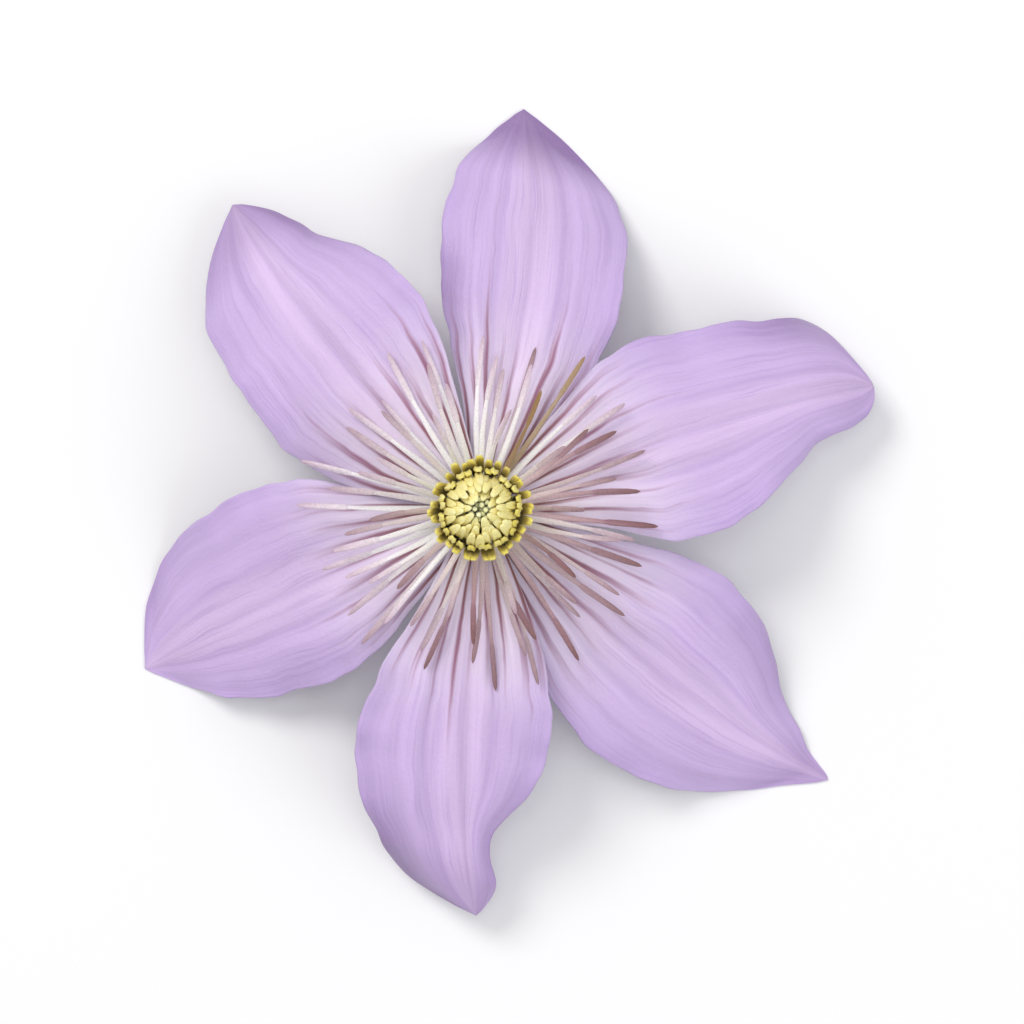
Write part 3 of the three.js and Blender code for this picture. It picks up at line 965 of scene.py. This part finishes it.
    def surface(self, at: Spots) -> Array:
        """Shape the sepal's face.

        Args:
            at: the places.

        Returns:
            a point for each, in millimetres round the flower's axis.
        """
        beside = at.across * self.half_width(at)
        sideways = self.lean * at.share**3 + beside
        hugged = np.minimum(np.abs(sideways), self.foot_hug)
        hug = (CLAW_RADIUS - np.sqrt(CLAW_RADIUS**2 - hugged**2)) * (1 - at.share) ** 10
        outward = CLAW_RADIUS + at.share * self.length - hug
        height = self.spine(at.share) + self.relief(at, beside) + self.lift
        height += self.unevenness(at) + self.ruffle(at)
        over = height - self.margin_thickness - self.clearance
        soft = (np.clip(over + self.landing, 0, None)) ** 2 / (4 * self.landing)
        height += np.where(over >= self.landing, 0, soft - over)
        away, aside = compass(math.radians(self.facing))
        return outward[:, None] * away + sideways[:, None] * aside + height[:, None] * (0, 0, 1)

    def flush_and_shade_at(self, at: Spots) -> Array:
        """Weigh the purple flush: towards the tip it is the tissue's deeper colour, made stronger on some
        tips as painted shade, and where a margin rolls down it is painted shade.

        Args:
            at: the places.

        Returns:
            an amount for each.
        """
        total = self.tip_flush_and_shade * smooth_step(0.8, 0.95, at.share)
        # Painted shade where a margin rolls down.
        for roll in self.rolls:
            amount = 0.3 * roll.depth * at.edge**3 * hump(at.share, roll.place, self.roll_spread)
            total = total + at.on(roll.side, amount)
        return np.clip(total, 0, 0.8)

    def build(self) -> bpy.types.Object:
        """Shape a flat grid into the sepal, and give it its thickness towards the back.

        Returns:
            the sepal.
        """
        pick()
        along, over = self.divisions
        bpy.ops.mesh.primitive_grid_add(x_subdivisions=along, y_subdivisions=over, size=2, calc_uvs=True)
        obj = bpy.context.object
        obj.name = obj.data.name = f"{self.name}_blade"
        flat = points_of(obj)
        at = Spots((flat[:, 0] + 1) / 2, flat[:, 1])
        seat(obj, self.surface(at))
        # the deeper purple of the tips, and painted shade in rolled margins
        note(obj, "flush", self.flush_and_shade_at(at))
        note(obj, "seed", np.full(len(flat), self.facing))
        bar = obj.vertex_groups.new(name="bar")
        levels = np.round(self.thickness_at(at) * self.thickness_steps).astype(int)
        for level in np.unique(levels):
            bar.add(np.flatnonzero(levels == level).tolist(), float(level) / self.thickness_steps, "REPLACE")
        for finish in (SepalFace(), SepalBack()):
            obj.data.materials.append(finish.material())
        apply_modifier(
            obj, "SOLIDIFY", thickness=self.thickness * MM, offset=-1, vertex_group="bar",
            thickness_vertex_group=self.margin_thickness / self.thickness, material_offset=1,
        )
        points = points_of(obj)
        points[:, 2] = np.maximum(points[:, 2], 0)
        obj.data.vertices.foreach_set("co", points.ravel())
        obj.data.update()
        return finished(obj, "sepal", self.name)


SEPALS = (
    Sepal(
        "sepal_1", Tier.OUTER, facing=76.5, reach=47.2, lean=6.2, tip=-0.9, nod=4.0, twist=3,
        left=Half((5.0, 8.9, 10.6, 8.9, 4.4), 1.0, 1.7, 0.1),
        right=Half((6.2, 9.9, 11.3, 10.6, 5.6), 1.1, 1.4, 0.55),
        # sepal_1's strong tip flush is partly painted shade.
        rolls=(Roll(Side.LEFT, 0.45, 1.8), Roll(Side.RIGHT, 0.95, 1.2)), tip_flush_and_shade=0.75,
    ),
    Sepal(
        "sepal_2", Tier.INNER, facing=134, reach=46.1, lean=-3.8, tip=3.9, nod=5.4, twist=-4,
        left=Half((8.6, 11.6, 11.3, 10.3, 6.2), 1.3, 1.6, 0.5),
        right=Half((7.2, 11.2, 11.2, 6.4, 3.6), 1.6, 2.2, 0.2),
        rolls=(Roll(Side.RIGHT, 0.84, 2.2), Roll(Side.LEFT, 0.3, 1.2)), tip_flush_and_shade=0.35,
    ),
    Sepal(
        "sepal_3", Tier.OUTER, facing=203, reach=44.0, lean=1.7, tip=-0.8, nod=2.8, twist=-2,
        left=Half((7.0, 10.9, 10.8, 8.0, 3.6), 1.0, 1.5, 0.8),
        right=Half((7.6, 12.0, 12.8, 10.9, 6.6), 1.2, 1.8, 0.3),
        rolls=(Roll(Side.RIGHT, 0.9, 0.9),), tip_flush_and_shade=0.0,
    ),
    Sepal(
        "sepal_4", Tier.INNER, facing=263.5, reach=47.4, lean=4.7, tip=4.4, nod=6.6, twist=5,
        left=Half((7.2, 10.1, 9.4, 3.0, 3.0), 1.2, 2.1, 0.6),
        right=Half((5.8, 10.2, 12.4, 10.5, 7.2), 1.0, 1.5, 0.15),
        rolls=(Roll(Side.LEFT, 0.78, 2.0), Roll(Side.RIGHT, 0.87, 2.8)),
    ),
    Sepal(
        "sepal_5", Tier.OUTER, facing=316.5, reach=51.6, lean=5.0, tip=-0.7, nod=1.6, twist=2,
        left=Half((7.6, 12.6, 12.2, 5.6, 2.1), 1.4, 1.9, 0.35),
        right=Half((6.4, 11.0, 12.0, 8.8, 3.6), 1.0, 1.3, 0.7),
        rolls=(Roll(Side.LEFT, 0.7, 1.2),),
    ),
    Sepal(
        "sepal_6", Tier.INNER, facing=21, reach=48.1, lean=-2.8, tip=5.0, nod=4.6, twist=-4,
        left=Half((7.4, 11.8, 11.4, 10.2, 8.4), 1.5, 2.0, 0.75),
        right=Half((6.6, 11.6, 10.6, 5.6, 4.2), 1.2, 1.6, 0.4),
        rolls=(Roll(Side.LEFT, 0.86, 2.0),), bluntness=2.6, tip_flush_and_shade=0.1,
    ),
)


# ---------------------------------------------------------------- limbs


class Section(NamedTuple):
    """One ring of a limb: its share of the length, its half-width and its half-depth."""

    share: float
    width: float
    depth: float


def outline(rows: Iterable[tuple[float, ...]], width: float = 1, depth: float = 1) -> list[Section]:
    """Scale a limb's rings: rows of share, width and depth, or of share and both in one."""
    return [Section(row[0], width * row[1], depth * row[-1]) for row in rows]


# The groove between an anther's lobes, as shares of its half-width, the limb's length and its depth.
GROOVE_WIDTH, GROOVE_RISE, GROOVE_DEPTH = 0.3, 0.04, 0.55


@dataclass(frozen=True)
class Template:
    """A limb that is modelled once: straight up from the origin, and one unit long."""

    points: Array
    faces: list[list[int]]

    @classmethod
    def drawn(cls, sections: Sequence[Section], sides: int, groove_from: float = 2.0) -> Template:
        """Draw a limb out from a small disc, ring by ring.

        Args:
            sections: its rings, from foot to tip.
            sides: how many points a ring has.
            groove_from: the share past which a lengthwise groove splits the limb into two lobes.

        Returns:
            the template.
        """
        pick()
        first = sections[0]
        bpy.ops.mesh.primitive_circle_add(
            vertices=sides, radius=1, fill_type="NGON", location=(0, 0, first.share)
        )
        obj = bpy.context.object
        bpy.ops.object.mode_set(mode="EDIT")
        bpy.ops.mesh.select_all(action="SELECT")
        origin = (0, 0, 0)
        bpy.ops.transform.resize(value=(first.width, first.depth, 1), center_override=origin)
        for below, above in pairwise(sections):
            step = (0, 0, above.share - below.share)
            bpy.ops.mesh.extrude_region_move(TRANSFORM_OT_translate={"value": step})
            growth = (above.width / below.width, above.depth / below.depth, 1)
            bpy.ops.transform.resize(value=growth, center_override=origin)
        bpy.ops.mesh.select_all(action="SELECT")
        bpy.ops.mesh.normals_make_consistent(inside=False)
        bpy.ops.object.mode_set(mode="OBJECT")
        bpy.ops.object.transform_apply(location=True, rotation=True, scale=True)
        points = points_of(obj)
        faces = [list(face.vertices) for face in obj.data.polygons]
        mesh = obj.data
        bpy.data.objects.remove(obj)
        bpy.data.meshes.remove(mesh)
        shares, widths, _ = zip(*sections)
        half_width = np.interp(points[:, 2], shares, widths)
        groove = hump(points[:, 0], 0, GROOVE_WIDTH * half_width)
        groove *= smooth_step(0, GROOVE_RISE, points[:, 2] - groove_from)
        points[:, 1] *= 1 - GROOVE_DEPTH * groove
        return cls(points, faces)


@dataclass(frozen=True)
class Limb:
    """One copy of a template: the line that it grows along, and how it differs from the others."""

    route: Array
    beside: Array
    neck: float = NECK
    roll: float = 0.0
    curl: float = 0.0
    girth: float = 1.0
    tint: float = 0.0
    dry: float = 0.0

    @staticmethod
    def read(rows: Array, share: Array) -> Array:
        """Read rows that are spread evenly along the limb, at some shares."""
        stations = np.linspace(0, 1, len(rows))
        return np.column_stack([np.interp(share, stations, column) for column in rows.T])

    def grown(self, template: Template) -> Array:
        """Bend a template along the limb's line, with its middle at the limb's neck.

        Args:
            template: the template.

        Returns:
            its points, bent.
        """
        x, y, height = template.points.T
        share = np.interp(height, (0, NECK, 1), (0, self.neck, 1))
        middle = self.read(self.route, share)
        ahead = self.read(np.gradient(self.route, axis=0), share)
        ahead /= np.linalg.norm(ahead, axis=1)[:, None]
        above = np.cross(ahead, self.beside)
        above /= np.linalg.norm(above, axis=1)[:, None]
        beside = np.cross(above, ahead)
        angle = self.roll + self.curl * share
        cosine, sine = np.cos(angle)[:, None], np.sin(angle)[:, None]
        widthwise = beside * cosine + above * sine
        depthwise = above * cosine - beside * sine
        return middle + (widthwise * x[:, None] + depthwise * y[:, None]) * self.girth


def fused(
    name: str, template: Template, limbs: Sequence[Limb], finishes: Sequence[Finish]
) -> bpy.types.Object:
    """Join many copies of one template in a single mesh.

    Args:
        name: the piece's name.
        template: the limb that is copied.
        limbs: where the copies grow.
        finishes: one finish, or one below the neck and one above it.

    Returns:
        the piece, with each point's share and tint kept for its finish.
    """
    count = len(template.points)
    mesh = bpy.data.meshes.new(name)
    faces = [[i + k * count for i in face] for k in range(len(limbs)) for face in template.faces]
    points = np.concatenate([limb.grown(template) for limb in limbs])
    points[:, 2] = np.maximum(points[:, 2], LOWEST)
    mesh.from_pydata([(0, 0, 0)] * len(points), [], faces)
    obj = bpy.data.objects.new(name, mesh)
    bpy.context.collection.objects.link(obj)
    seat(obj, points)
    note(obj, "along", np.tile(template.points[:, 2], len(limbs)))
    note(obj, "tint", np.repeat([limb.tint for limb in limbs], count))
    note(obj, "dry", np.repeat([limb.dry for limb in limbs], count))
    for finish in finishes:
        mesh.materials.append(finish.material())
    if len(finishes) > 1:
        heights = [np.mean([template.points[i, 2] for i in face]) for face in template.faces]
        above = np.tile([int(height > NECK) for height in heights], len(limbs))
        mesh.polygons.foreach_set("material_index", above)
    return obj


@dataclass(frozen=True)
class Habit:
    """How far limbs stray from an even ring."""

    turn: float = 3.4  # degrees
    reach: float = 0.06  # share of the radius
    rise: float = 0.6  # millimetres
    anther: float = 0.08  # share of the anther's length
    girth: float = 0.12
    # The rest are for a loose ring, and less in a tighter one.
    sway: float = 1.1  # millimetres to the side, at the tip
    wave: float = 0.5  # millimetres to the side, halfway
    roll: float = 0.25  # radians
    curl: float = 0.7  # radians from foot to tip
    # painted shade: a browner tint on the side away from the key light
    painted_shade: float = 0.3  # on the darker side
    dry: float = 0.8  # where the limbs have withered


HABIT = Habit()


@dataclass(frozen=True)
class Ring:
    """A ring of stamens or pistils, with their feet, bends and tips as radius and height."""

    count: int
    foot: tuple[float, float]
    bend: tuple[float, float]
    tip: tuple[float, float]
    anther: float = 0.0
    turn: float = 0.0
    tint: tuple[float, float] = (0.0, 1.0)

    def limbs(self, draw: np.random.Generator, loose: float) -> Iterable[Limb]:
        """Draw the ring's limbs.

        Args:
            draw: the source of chance.
            loose: how far the limbs stray from an even ring, 1 for the spreading stamens.

        Returns:
            the limbs, one after another.
        """
        for i in range(self.count):
            stray = draw.uniform(-1, 1, 8)
            turn = math.radians((i + self.turn) / self.count * 360 + HABIT.turn * stray[0])
            reach, rise = 1 + HABIT.reach * stray[1], HABIT.rise * stray[2]
            t = np.linspace(0, 1, 25)
            out = bezier(t, self.foot[0], self.bend[0] * reach, self.tip[0] * reach)
            up = bezier(t, self.foot[1], self.bend[1] + rise / 2, self.tip[1] + rise)
            side = loose * (HABIT.sway * stray[3] * t**2 + HABIT.wave * stray[4] * np.sin(math.pi * t))
            outward, beside = compass(turn)
            route = out[:, None] * outward + side[:, None] * beside
            route[:, 2] = up + TIER_HEIGHT
            length = np.linalg.norm(np.diff(route, axis=0), axis=1).sum()
            # Painted shade: the tint turns browner towards the side away from the key light.
            painted_shade = HABIT.painted_shade * loose * math.cos(turn - SHADED_SIDE)
            yield Limb(
                route, beside, neck=1 - self.anther * (1 + HABIT.anther * stray[5]) / length,
                roll=HABIT.roll * loose * stray[6], curl=HABIT.curl * loose * stray[7],
                girth=1 + HABIT.girth * stray[5],
                tint=float(smooth_step(0, 1, draw.uniform(*self.tint) + painted_shade)),
                dry=HABIT.dry * loose if abs(turn - WITHERED) < WITHERED_SPREAD else 0,
            )


@dataclass(frozen=True)
class Stamens:
    """Stamens in several rings. Each is a slim flattened filament that bears a long anther of two lobes."""

    name: str
    slot: str
    rings: tuple[Ring, ...]
    finishes: tuple[Finish, ...]
    seed: int
    loose: float  # 1 for a ring that strays in full
    filament: tuple[float, float]  # half-width and half-depth, as for the anther
    anther: tuple[float, float]
    sides: int = 8
    filament_rings: tuple[tuple[float, ...], ...] = (
        (0.0, 1.0, 1.3), (0.14, 1.05, 1.1), (0.31, 0.95, 1.0), (0.49, 0.66, 1.0),
    )
    anther_rings: tuple[tuple[float, ...], ...] = (
        (0.508, 0.74, 0.66), (0.56, 1.0, 1.0), (0.7, 1.02, 1.04), (0.87, 0.94, 1.0), (0.965, 0.64, 0.7),
        (1.0, 0.16, 0.2),
    )

    def build(self) -> bpy.types.Object:
        """Model one stamen, grow it in all the rings and join them.

        Returns:
            the stamens.
        """
        sections = outline(self.filament_rings, *self.filament) + outline(self.anther_rings, *self.anther)
        template = Template.drawn(sections, self.sides, groove_from=self.filament_rings[-1][0])
        draw = np.random.default_rng(self.seed)
        limbs = [limb for ring in self.rings for limb in ring.limbs(draw, self.loose)]
        return finished(fused(f"{self.name}_fine", template, limbs, self.finishes), self.slot, self.name)


SPREADING = Stamens(
    "spreading_stamens", "spreading_stamen",
    rings=(
        Ring(20, (2.5, 2.3), (11.0, 5.4), (20.4, 4.4), anther=5.8, turn=0.0, tint=(0.0, 0.8)),
        Ring(18, (2.4, 2.7), (9.8, 6.8), (17.8, 7.0), anther=5.4, turn=0.5, tint=(0.0, 0.8)),
        Ring(14, (2.4, 3.2), (8.6, 7.8), (15.4, 9.4), anther=5.0, turn=0.3, tint=(0.1, 0.9)),
        Ring(10, (2.3, 3.6), (7.0, 8.6), (12.6, 11.8), anther=5.0, turn=0.1, tint=(0.1, 0.9)),
    ),
    finishes=(SPREADING_FILAMENT, SPREADING_ANTHER),
    seed=11, loose=1.0, filament=(0.37, 0.16), anther=(0.35, 0.28),
)
BRUSH = Stamens(
    "brush_stamens", "brush_stamen",
    rings=(
        Ring(10, (1.5, 4.8), (4.6, 15.6), (0.95, 18.3), anther=6.6, turn=0.0, tint=(0.0, 0.15)),
        Ring(16, (1.6, 4.8), (5.2, 14.8), (1.9, 18.0), anther=6.8, turn=0.3, tint=(0.0, 0.2)),
        Ring(21, (1.8, 4.7), (5.5, 13.6), (2.75, 17.3), anther=6.8, turn=0.6, tint=(0.0, 0.4)),
        # The two outer rings take the darker olive, partly painted shade.
        Ring(27, (1.9, 4.6), (5.4, 11.4), (4.15, 16.1), anther=6.8, turn=0.2, tint=(0.5, 1.0)),
        Ring(31, (2.0, 4.5), (5.2, 10.2), (5.7, 15.1), anther=6.4, turn=0.7, tint=(0.7, 1.0)),
        Ring(13, (1.5, 4.8), (3.4, 14.2), (1.5, 17.2), anther=6.4, turn=0.4, tint=(0.0, 0.3)),
        Ring(18, (1.6, 4.8), (4.6, 12.8), (2.8, 16.3), anther=6.4, turn=0.1, tint=(0.0, 0.5)),
    ),
    finishes=(BRUSH_FILAMENT, BRUSH_ANTHER),
    seed=23, loose=0.25, filament=(0.35, 0.18), anther=(0.51, 0.44),
)


# ---------------------------------------------------------------- down


@dataclass(frozen=True)
class Down:
    """Soft plant hairs. Real ones are thinner than these, which are drawn as coarse as they need to show."""

    name: str
    slot: str
    length: float
    thickness: float = 0.035
    lean: float = 0.6
    lengths: tuple[float, float] = (0.5, 1.3)  # from the shortest hair to the longest
    leans: tuple[float, float] = (0.3, 1.5)
    sway: float = 0.4
    root: float = 0.05  # of each hair, under the skin
    clearance: float = 0.03  # over the surface that the flower lies on
    seed: int = 5
    rings: tuple[tuple[float, float], ...] = ((0.0, 1.0), (0.55, 0.8), (1.0, 0.15))

    def build(self, feet: Rows, outward: Rows, forward: Rows) -> bpy.types.Object:
        """Grow one hair at each foot.

        Args:
            feet: where the hairs stand, in millimetres round the flower's axis.
            outward: the surface's direction at each foot.
            forward: the direction that each hair leans towards.

        Returns:
            all the hairs as one piece.
        """
        draw = np.random.default_rng(self.seed)
        hair = Template.drawn(outline(self.rings, self.thickness, self.thickness), 3)
        t = np.linspace(0, 1, 4)[:, None]
        limbs = []
        for foot, out, ahead in zip(feet, outward, forward):
            length = self.length * draw.uniform(*self.lengths)
            lean = length * self.lean * draw.uniform(*self.leans)
            sway = length * draw.uniform(-self.sway, self.sway)
            aside = np.cross(out, ahead)
            bend = foot + out * length * 0.6 + ahead * lean * 0.25
            end = foot + out * length * 0.85 + ahead * lean + aside * sway
            route = bezier(t, foot - out * self.root, bend, end)
            if route[:, 2].min() > self.clearance:
                limbs.append(Limb(route, aside, tint=draw.uniform(0, 1)))
        return finished(fused(self.name, hair, limbs, (PLANT_DOWN,)), self.slot)


# ---------------------------------------------------------------- pistils


@dataclass(frozen=True)
class Pistils:
    """The tuft of pistils inside the brush: plump seed vessels that end in silky styles."""

    rings: tuple[Ring, ...] = (
        Ring(1, (0.0, 5.6), (0.1, 11.0), (0.1, 17.8)),
        Ring(6, (0.6, 5.6), (0.85, 11.5), (0.56, 17.9), turn=0.2),
        Ring(10, (1.1, 5.4), (1.6, 11.0), (1.12, 17.5), turn=0.5),
    )
    style: float = 0.27  # half-width, as for the vessel
    vessel: float = 0.5
    vessel_rings: tuple[tuple[float, float], ...] = ((0.0, 0.7), (0.08, 1.0), (0.2, 0.92))
    style_rings: tuple[tuple[float, float], ...] = (
        (0.32, 1.5), (0.45, 1.0), (0.7, 0.9), (0.9, 1.1), (0.97, 1.3), (1.0, 0.5),
    )
    loose: float = 0.2
    seed: int = 37
    hairs: int = 22  # on each style
    hairy: tuple[float, float] = (0.35, 0.93)  # shares between which the hairs stand

    def build(self) -> None:
        """Grow the pistils and the silky hairs on their styles."""
        sections = outline(self.vessel_rings, self.vessel, self.vessel)
        sections += outline(self.style_rings, self.style, self.style)
        template = Template.drawn(sections, 8)
        draw = np.random.default_rng(self.seed)
        limbs = [limb for ring in self.rings for limb in ring.limbs(draw, self.loose)]
        finished(fused("pistils_fine", template, limbs, (STYLE_TISSUE,)), "pistil", "pistils")
        feet, outward = [], []
        for limb in limbs:
            for share in draw.uniform(*self.hairy, self.hairs):
                out, _ = compass(draw.uniform(0, math.tau))
                feet.append(limb.route[int(share * (len(limb.route) - 1))] + out * self.style * 0.8)
                outward.append(out)
        upward = [np.array((0.0, 0.0, 1.0))] * len(feet)
        Down("style_hairs", "pistil", length=0.6, lean=1.6).build(feet, outward, upward)


# ---------------------------------------------------------------- stalk and receptacle


@dataclass(frozen=True)
class Stalk:
    """The stalk and the receptacle that it swells into, grown as one piece."""

    facing: float = 262.0  # degrees round the flower, towards the cut end
    rest: float = STALK_RADIUS + 0.1  # height of its middle where it lies
    ribs: int = 6
    valley: float = 0.88  # share of the radius between two ribs
    sides: int = 36
    rings: int = 90
    hairs: int = 480
    seed: int = 41
    rim: float = 0.2  # of skin round the cut pith
    wall: float = 0.06  # from the rim down to the pith
    pith_depth: float = 0.1
    bevel: float = 0.12
    sharp: float = 50.0  # degrees: the edges that the bevel takes
    receptacle_sides: int = 64
    receptacle: tuple[tuple[float, float], ...] = (
        (-4.6, 0.95), (-4.2, 1.12), (-3.6, 1.5), (-3.0, 1.9), (-2.4, 2.42), (-1.9, 2.9), (-1.5, 3.34),
        (-1.23, 3.66), (-1.05, 3.72), (-0.93, 3.6), (-0.92, 3.25), (-0.5, 3.16), (1.6, 3.14), (2.0, 2.98),
        (2.25, 2.72), (3.9, 2.62), (4.25, 2.1), (5.6, 1.9), (6.1, 1.4), (6.3, 0.3),
    )  # height over the lowest sepals' feet, and radius: claws and stamens stand 0.1 mm or more deep in it
    downy_rings: int = 8  # of the receptacle, from its foot

    def route(self) -> Array:
        """Trace the middle of the stalk.

        Returns:
            points from its cut end to the receptacle.
        """
        places = np.array((
            (37, 2.4, self.rest), (30, 1.3, self.rest), (22, 0.4, self.rest), (14, 0, self.rest + 0.05),
            (8.0, 0, 2.3), (3.1, 0, 4.6), (0.4, 0, 8.0), (0, 0, TIER_HEIGHT - 2),
        ))  # distance out, shift to the side and height
        points = places @ np.array((*compass(math.radians(self.facing)), (0, 0, 1)))
        travelled = np.concatenate(([0], np.cumsum(np.linalg.norm(np.diff(points, axis=0), axis=1))))
        return smooth_through(travelled, points, np.linspace(0, travelled[-1], 160))

    def radius_at(self, angle: Array, share: Array) -> Array:
        """Measure the stalk.

        Args:
            angle: directions round it, in radians.
            share: shares of its length.

        Returns:
            the radius at each.
        """
        ridge = np.abs(np.cos(angle * self.ribs / 2)) ** 1.5
        swelling = 1 + 0.025 * np.sin(9 * share + 1) + 0.015 * np.sin(31 * share)
        return STALK_RADIUS * (self.valley + (1 - self.valley) * ridge) * swelling

    def build(self) -> None:
        """Draw the stalk along its route, turn the receptacle, join them and grow their down."""
        shares = np.linspace(0, 1, self.rings).tolist()
        template = Template.drawn(outline((share, 1) for share in shares), self.sides)
        angle = np.arctan2(template.points[:, 1], template.points[:, 0])
        radius = self.radius_at(angle, template.points[:, 2])
        girth = np.column_stack((radius, radius, np.ones_like(radius)))
        template = Template(template.points * girth, template.faces)
        _, beside = compass(math.radians(self.facing))
        stalk = fused("stalk_fine", template, [Limb(self.route(), beside)], (StalkSkin(),))
        self.note_round(stalk, angle, np.abs(np.cos(angle * self.ribs / 2)) ** 4)
        stalk.data.materials.append(CutPith().material())
        self.cut_end(stalk)

        profile = Template.drawn(outline(self.receptacle), self.receptacle_sides)
        head = fused("receptacle", profile, [Limb(np.array(((0, 0, 0), (0, 0, 1))), beside)], (StalkSkin(),))
        seat(head, profile.points + (0, 0, TIER_HEIGHT))
        turned = np.arctan2(profile.points[:, 1], profile.points[:, 0])
        self.note_round(head, turned, np.abs(np.cos(turned * self.ribs)) ** 4 * 0.6)
        apply_modifier(
            head, "BEVEL", width=self.bevel * MM, segments=2, limit_method="ANGLE",
            angle_limit=math.radians(self.sharp),
        )
        pick(head, stalk)
        bpy.ops.object.join()
        finished(stalk, "stalk", "stalk")
        self.grow_down()

    @staticmethod
    def note_round(obj: bpy.types.Object, angle: Array, ribs: Array) -> None:
        """Keep each point's direction, and how far it is on a rib, for the skin to read."""
        for name, values in (("rib", ribs), ("round_x", np.cos(angle)), ("round_y", np.sin(angle))):
            note(obj, name, values)

    def cut_end(self, stalk: bpy.types.Object) -> None:
        """Inset the cut end, sink its pith a little and give it its own finish.

        Args:
            stalk: the stalk.
        """
        pick(stalk)
        bpy.ops.object.mode_set(mode="EDIT")
        bpy.ops.mesh.select_mode(type="FACE")
        bpy.ops.mesh.select_all(action="DESELECT")
        bpy.ops.object.mode_set(mode="OBJECT")
        # Only the two ends have faces of many sides, and the cut one is farther from the flower.
        caps = [face for face in stalk.data.polygons if len(face.vertices) > 4]
        max(caps, key=lambda face: face.center.length).select = True
        bpy.ops.object.mode_set(mode="EDIT")
        bpy.ops.mesh.inset(thickness=self.rim * MM, depth=0)
        bpy.ops.mesh.inset(thickness=self.wall * MM, depth=-self.pith_depth * MM)
        stalk.active_material_index = 1
        bpy.ops.object.material_slot_assign()
        bpy.ops.object.mode_set(mode="OBJECT")

    def grow_down(self) -> None:
        """Grow short hairs on the stalk and the receptacle."""
        draw = np.random.default_rng(self.seed)
        route = self.route()
        feet, outward, forward = [], [], []
        _, beside = compass(math.radians(self.facing))
        for share in draw.uniform(0.01, 0.97, self.hairs) ** 0.8:
            angle = draw.uniform(0, math.tau)
            i = min(int(share * (len(route) - 1)), len(route) - 2)
            ahead = route[i + 1] - route[i]
            ahead /= np.linalg.norm(ahead)
            out = beside * math.cos(angle) + np.cross(ahead, beside) * math.sin(angle)
            feet.append(route[i] + out * self.radius_at(angle, share))
            outward.append(out)
            forward.append(ahead)
        heights, radii = zip(*self.receptacle[: self.downy_rings])
        for height in draw.uniform(heights[0], heights[-1], self.hairs // 3):
            level, _ = compass(draw.uniform(0, math.tau))
            feet.append(level * np.interp(height, heights, radii) + (0, 0, TIER_HEIGHT + height))
            outward.append(level * 0.8 + (0, 0, -0.6))
            forward.append(np.array((0.0, 0.0, 1.0)))
        Down("stalk_down", "stalk", length=0.42, thickness=0.026, lean=0.5).build(feet, outward, forward)


# ---------------------------------------------------------------- studio


@dataclass(frozen=True)
class Lamp:
    """A soft area lamp, placed and sized in metres, with its power in watts, and aimed at the flower."""

    name: str
    place: tuple[float, float, float]
    size: float
    power: float
    colour: tuple[float, float, float]


@dataclass(frozen=True)
class Studio:
    """The floor, the lamps and the camera, which looks straight down into the flower as the photo does."""

    lens: float = 180.0
    share_of_frame: float = 0.8
    aim: float = 0.6  # share of the middle's height that the camera's distance is measured from
    near_and_far: tuple[float, float] = (0.01, 20.0)
    floor_size: float = 6.0
    daylight: float = 0.53
    sky: str = "#FBFBFF"
    lamps: tuple[Lamp, ...] = (
        Lamp("key", (-0.42, 0.5, 0.75), 0.45, 4.25, (1.0, 0.985, 0.96)),
        Lamp("fill", (0.6, -0.35, 0.6), 0.8, 2.4, (0.95, 0.97, 1.0)),
        Lamp("overhead", (0.0, 0.1, 1.3), 0.6, 2.6, (1.0, 1.0, 1.0)),
    )

    def build(self, low: Vector, high: Vector) -> None:
        """Set everything up round the flower.

        Args:
            low: the lowest corner of the flower's box.
            high: its highest corner.
        """
        pick()
        bpy.ops.mesh.primitive_plane_add(size=self.floor_size)
        floor = bpy.context.object
        floor.name = "floor"
        floor.data.materials.append(PaleFloor().material())
        floor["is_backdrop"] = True

        middle = (low + high) / 2
        for lamp in self.lamps:
            light = bpy.data.lights.new(lamp.name, "AREA")
            light.shape, light.size, light.energy, light.color = "DISK", lamp.size, lamp.power, lamp.colour
            obj = bpy.data.objects.new(lamp.name, light)
            obj.location = lamp.place
            obj.rotation_euler = (middle - obj.location).to_track_quat("-Z", "Y").to_euler()
            bpy.context.collection.objects.link(obj)

        world = bpy.data.worlds.new("daylight")
        world.use_nodes = True
        background = world.node_tree.nodes["Background"]
        plug(world.node_tree, background, {"Color": self.sky, "Strength": self.daylight})
        bpy.context.scene.world = world
        bpy.context.scene.view_settings.view_transform = "Standard"

        camera = bpy.data.cameras.new("camera")
        camera.lens = self.lens
        camera.clip_start, camera.clip_end = self.near_and_far
        span = max(high.x - low.x, high.y - low.y)
        distance = span / self.share_of_frame * self.lens / camera.sensor_width
        view = bpy.data.objects.new("camera", camera)
        view.location = (middle.x, middle.y, distance + middle.z * self.aim)
        bpy.context.collection.objects.link(view)
        bpy.context.scene.camera = view


def main() -> None:
    """Load the frame, set up the studio round its box and dress it."""
    logging.basicConfig(level=logging.INFO, format="%(name)s: %(message)s")
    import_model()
    cad_low, cad_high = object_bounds()
    bpy.ops.object.select_all(action="DESELECT")

    Studio().build(Vector(cad_low), Vector(cad_high))
    Stalk().build()
    for sepal in SEPALS:
        sepal.build()
    SPREADING.build()
    BRUSH.build()
    Pistils().build()


if __name__ == "__main__":
    main()
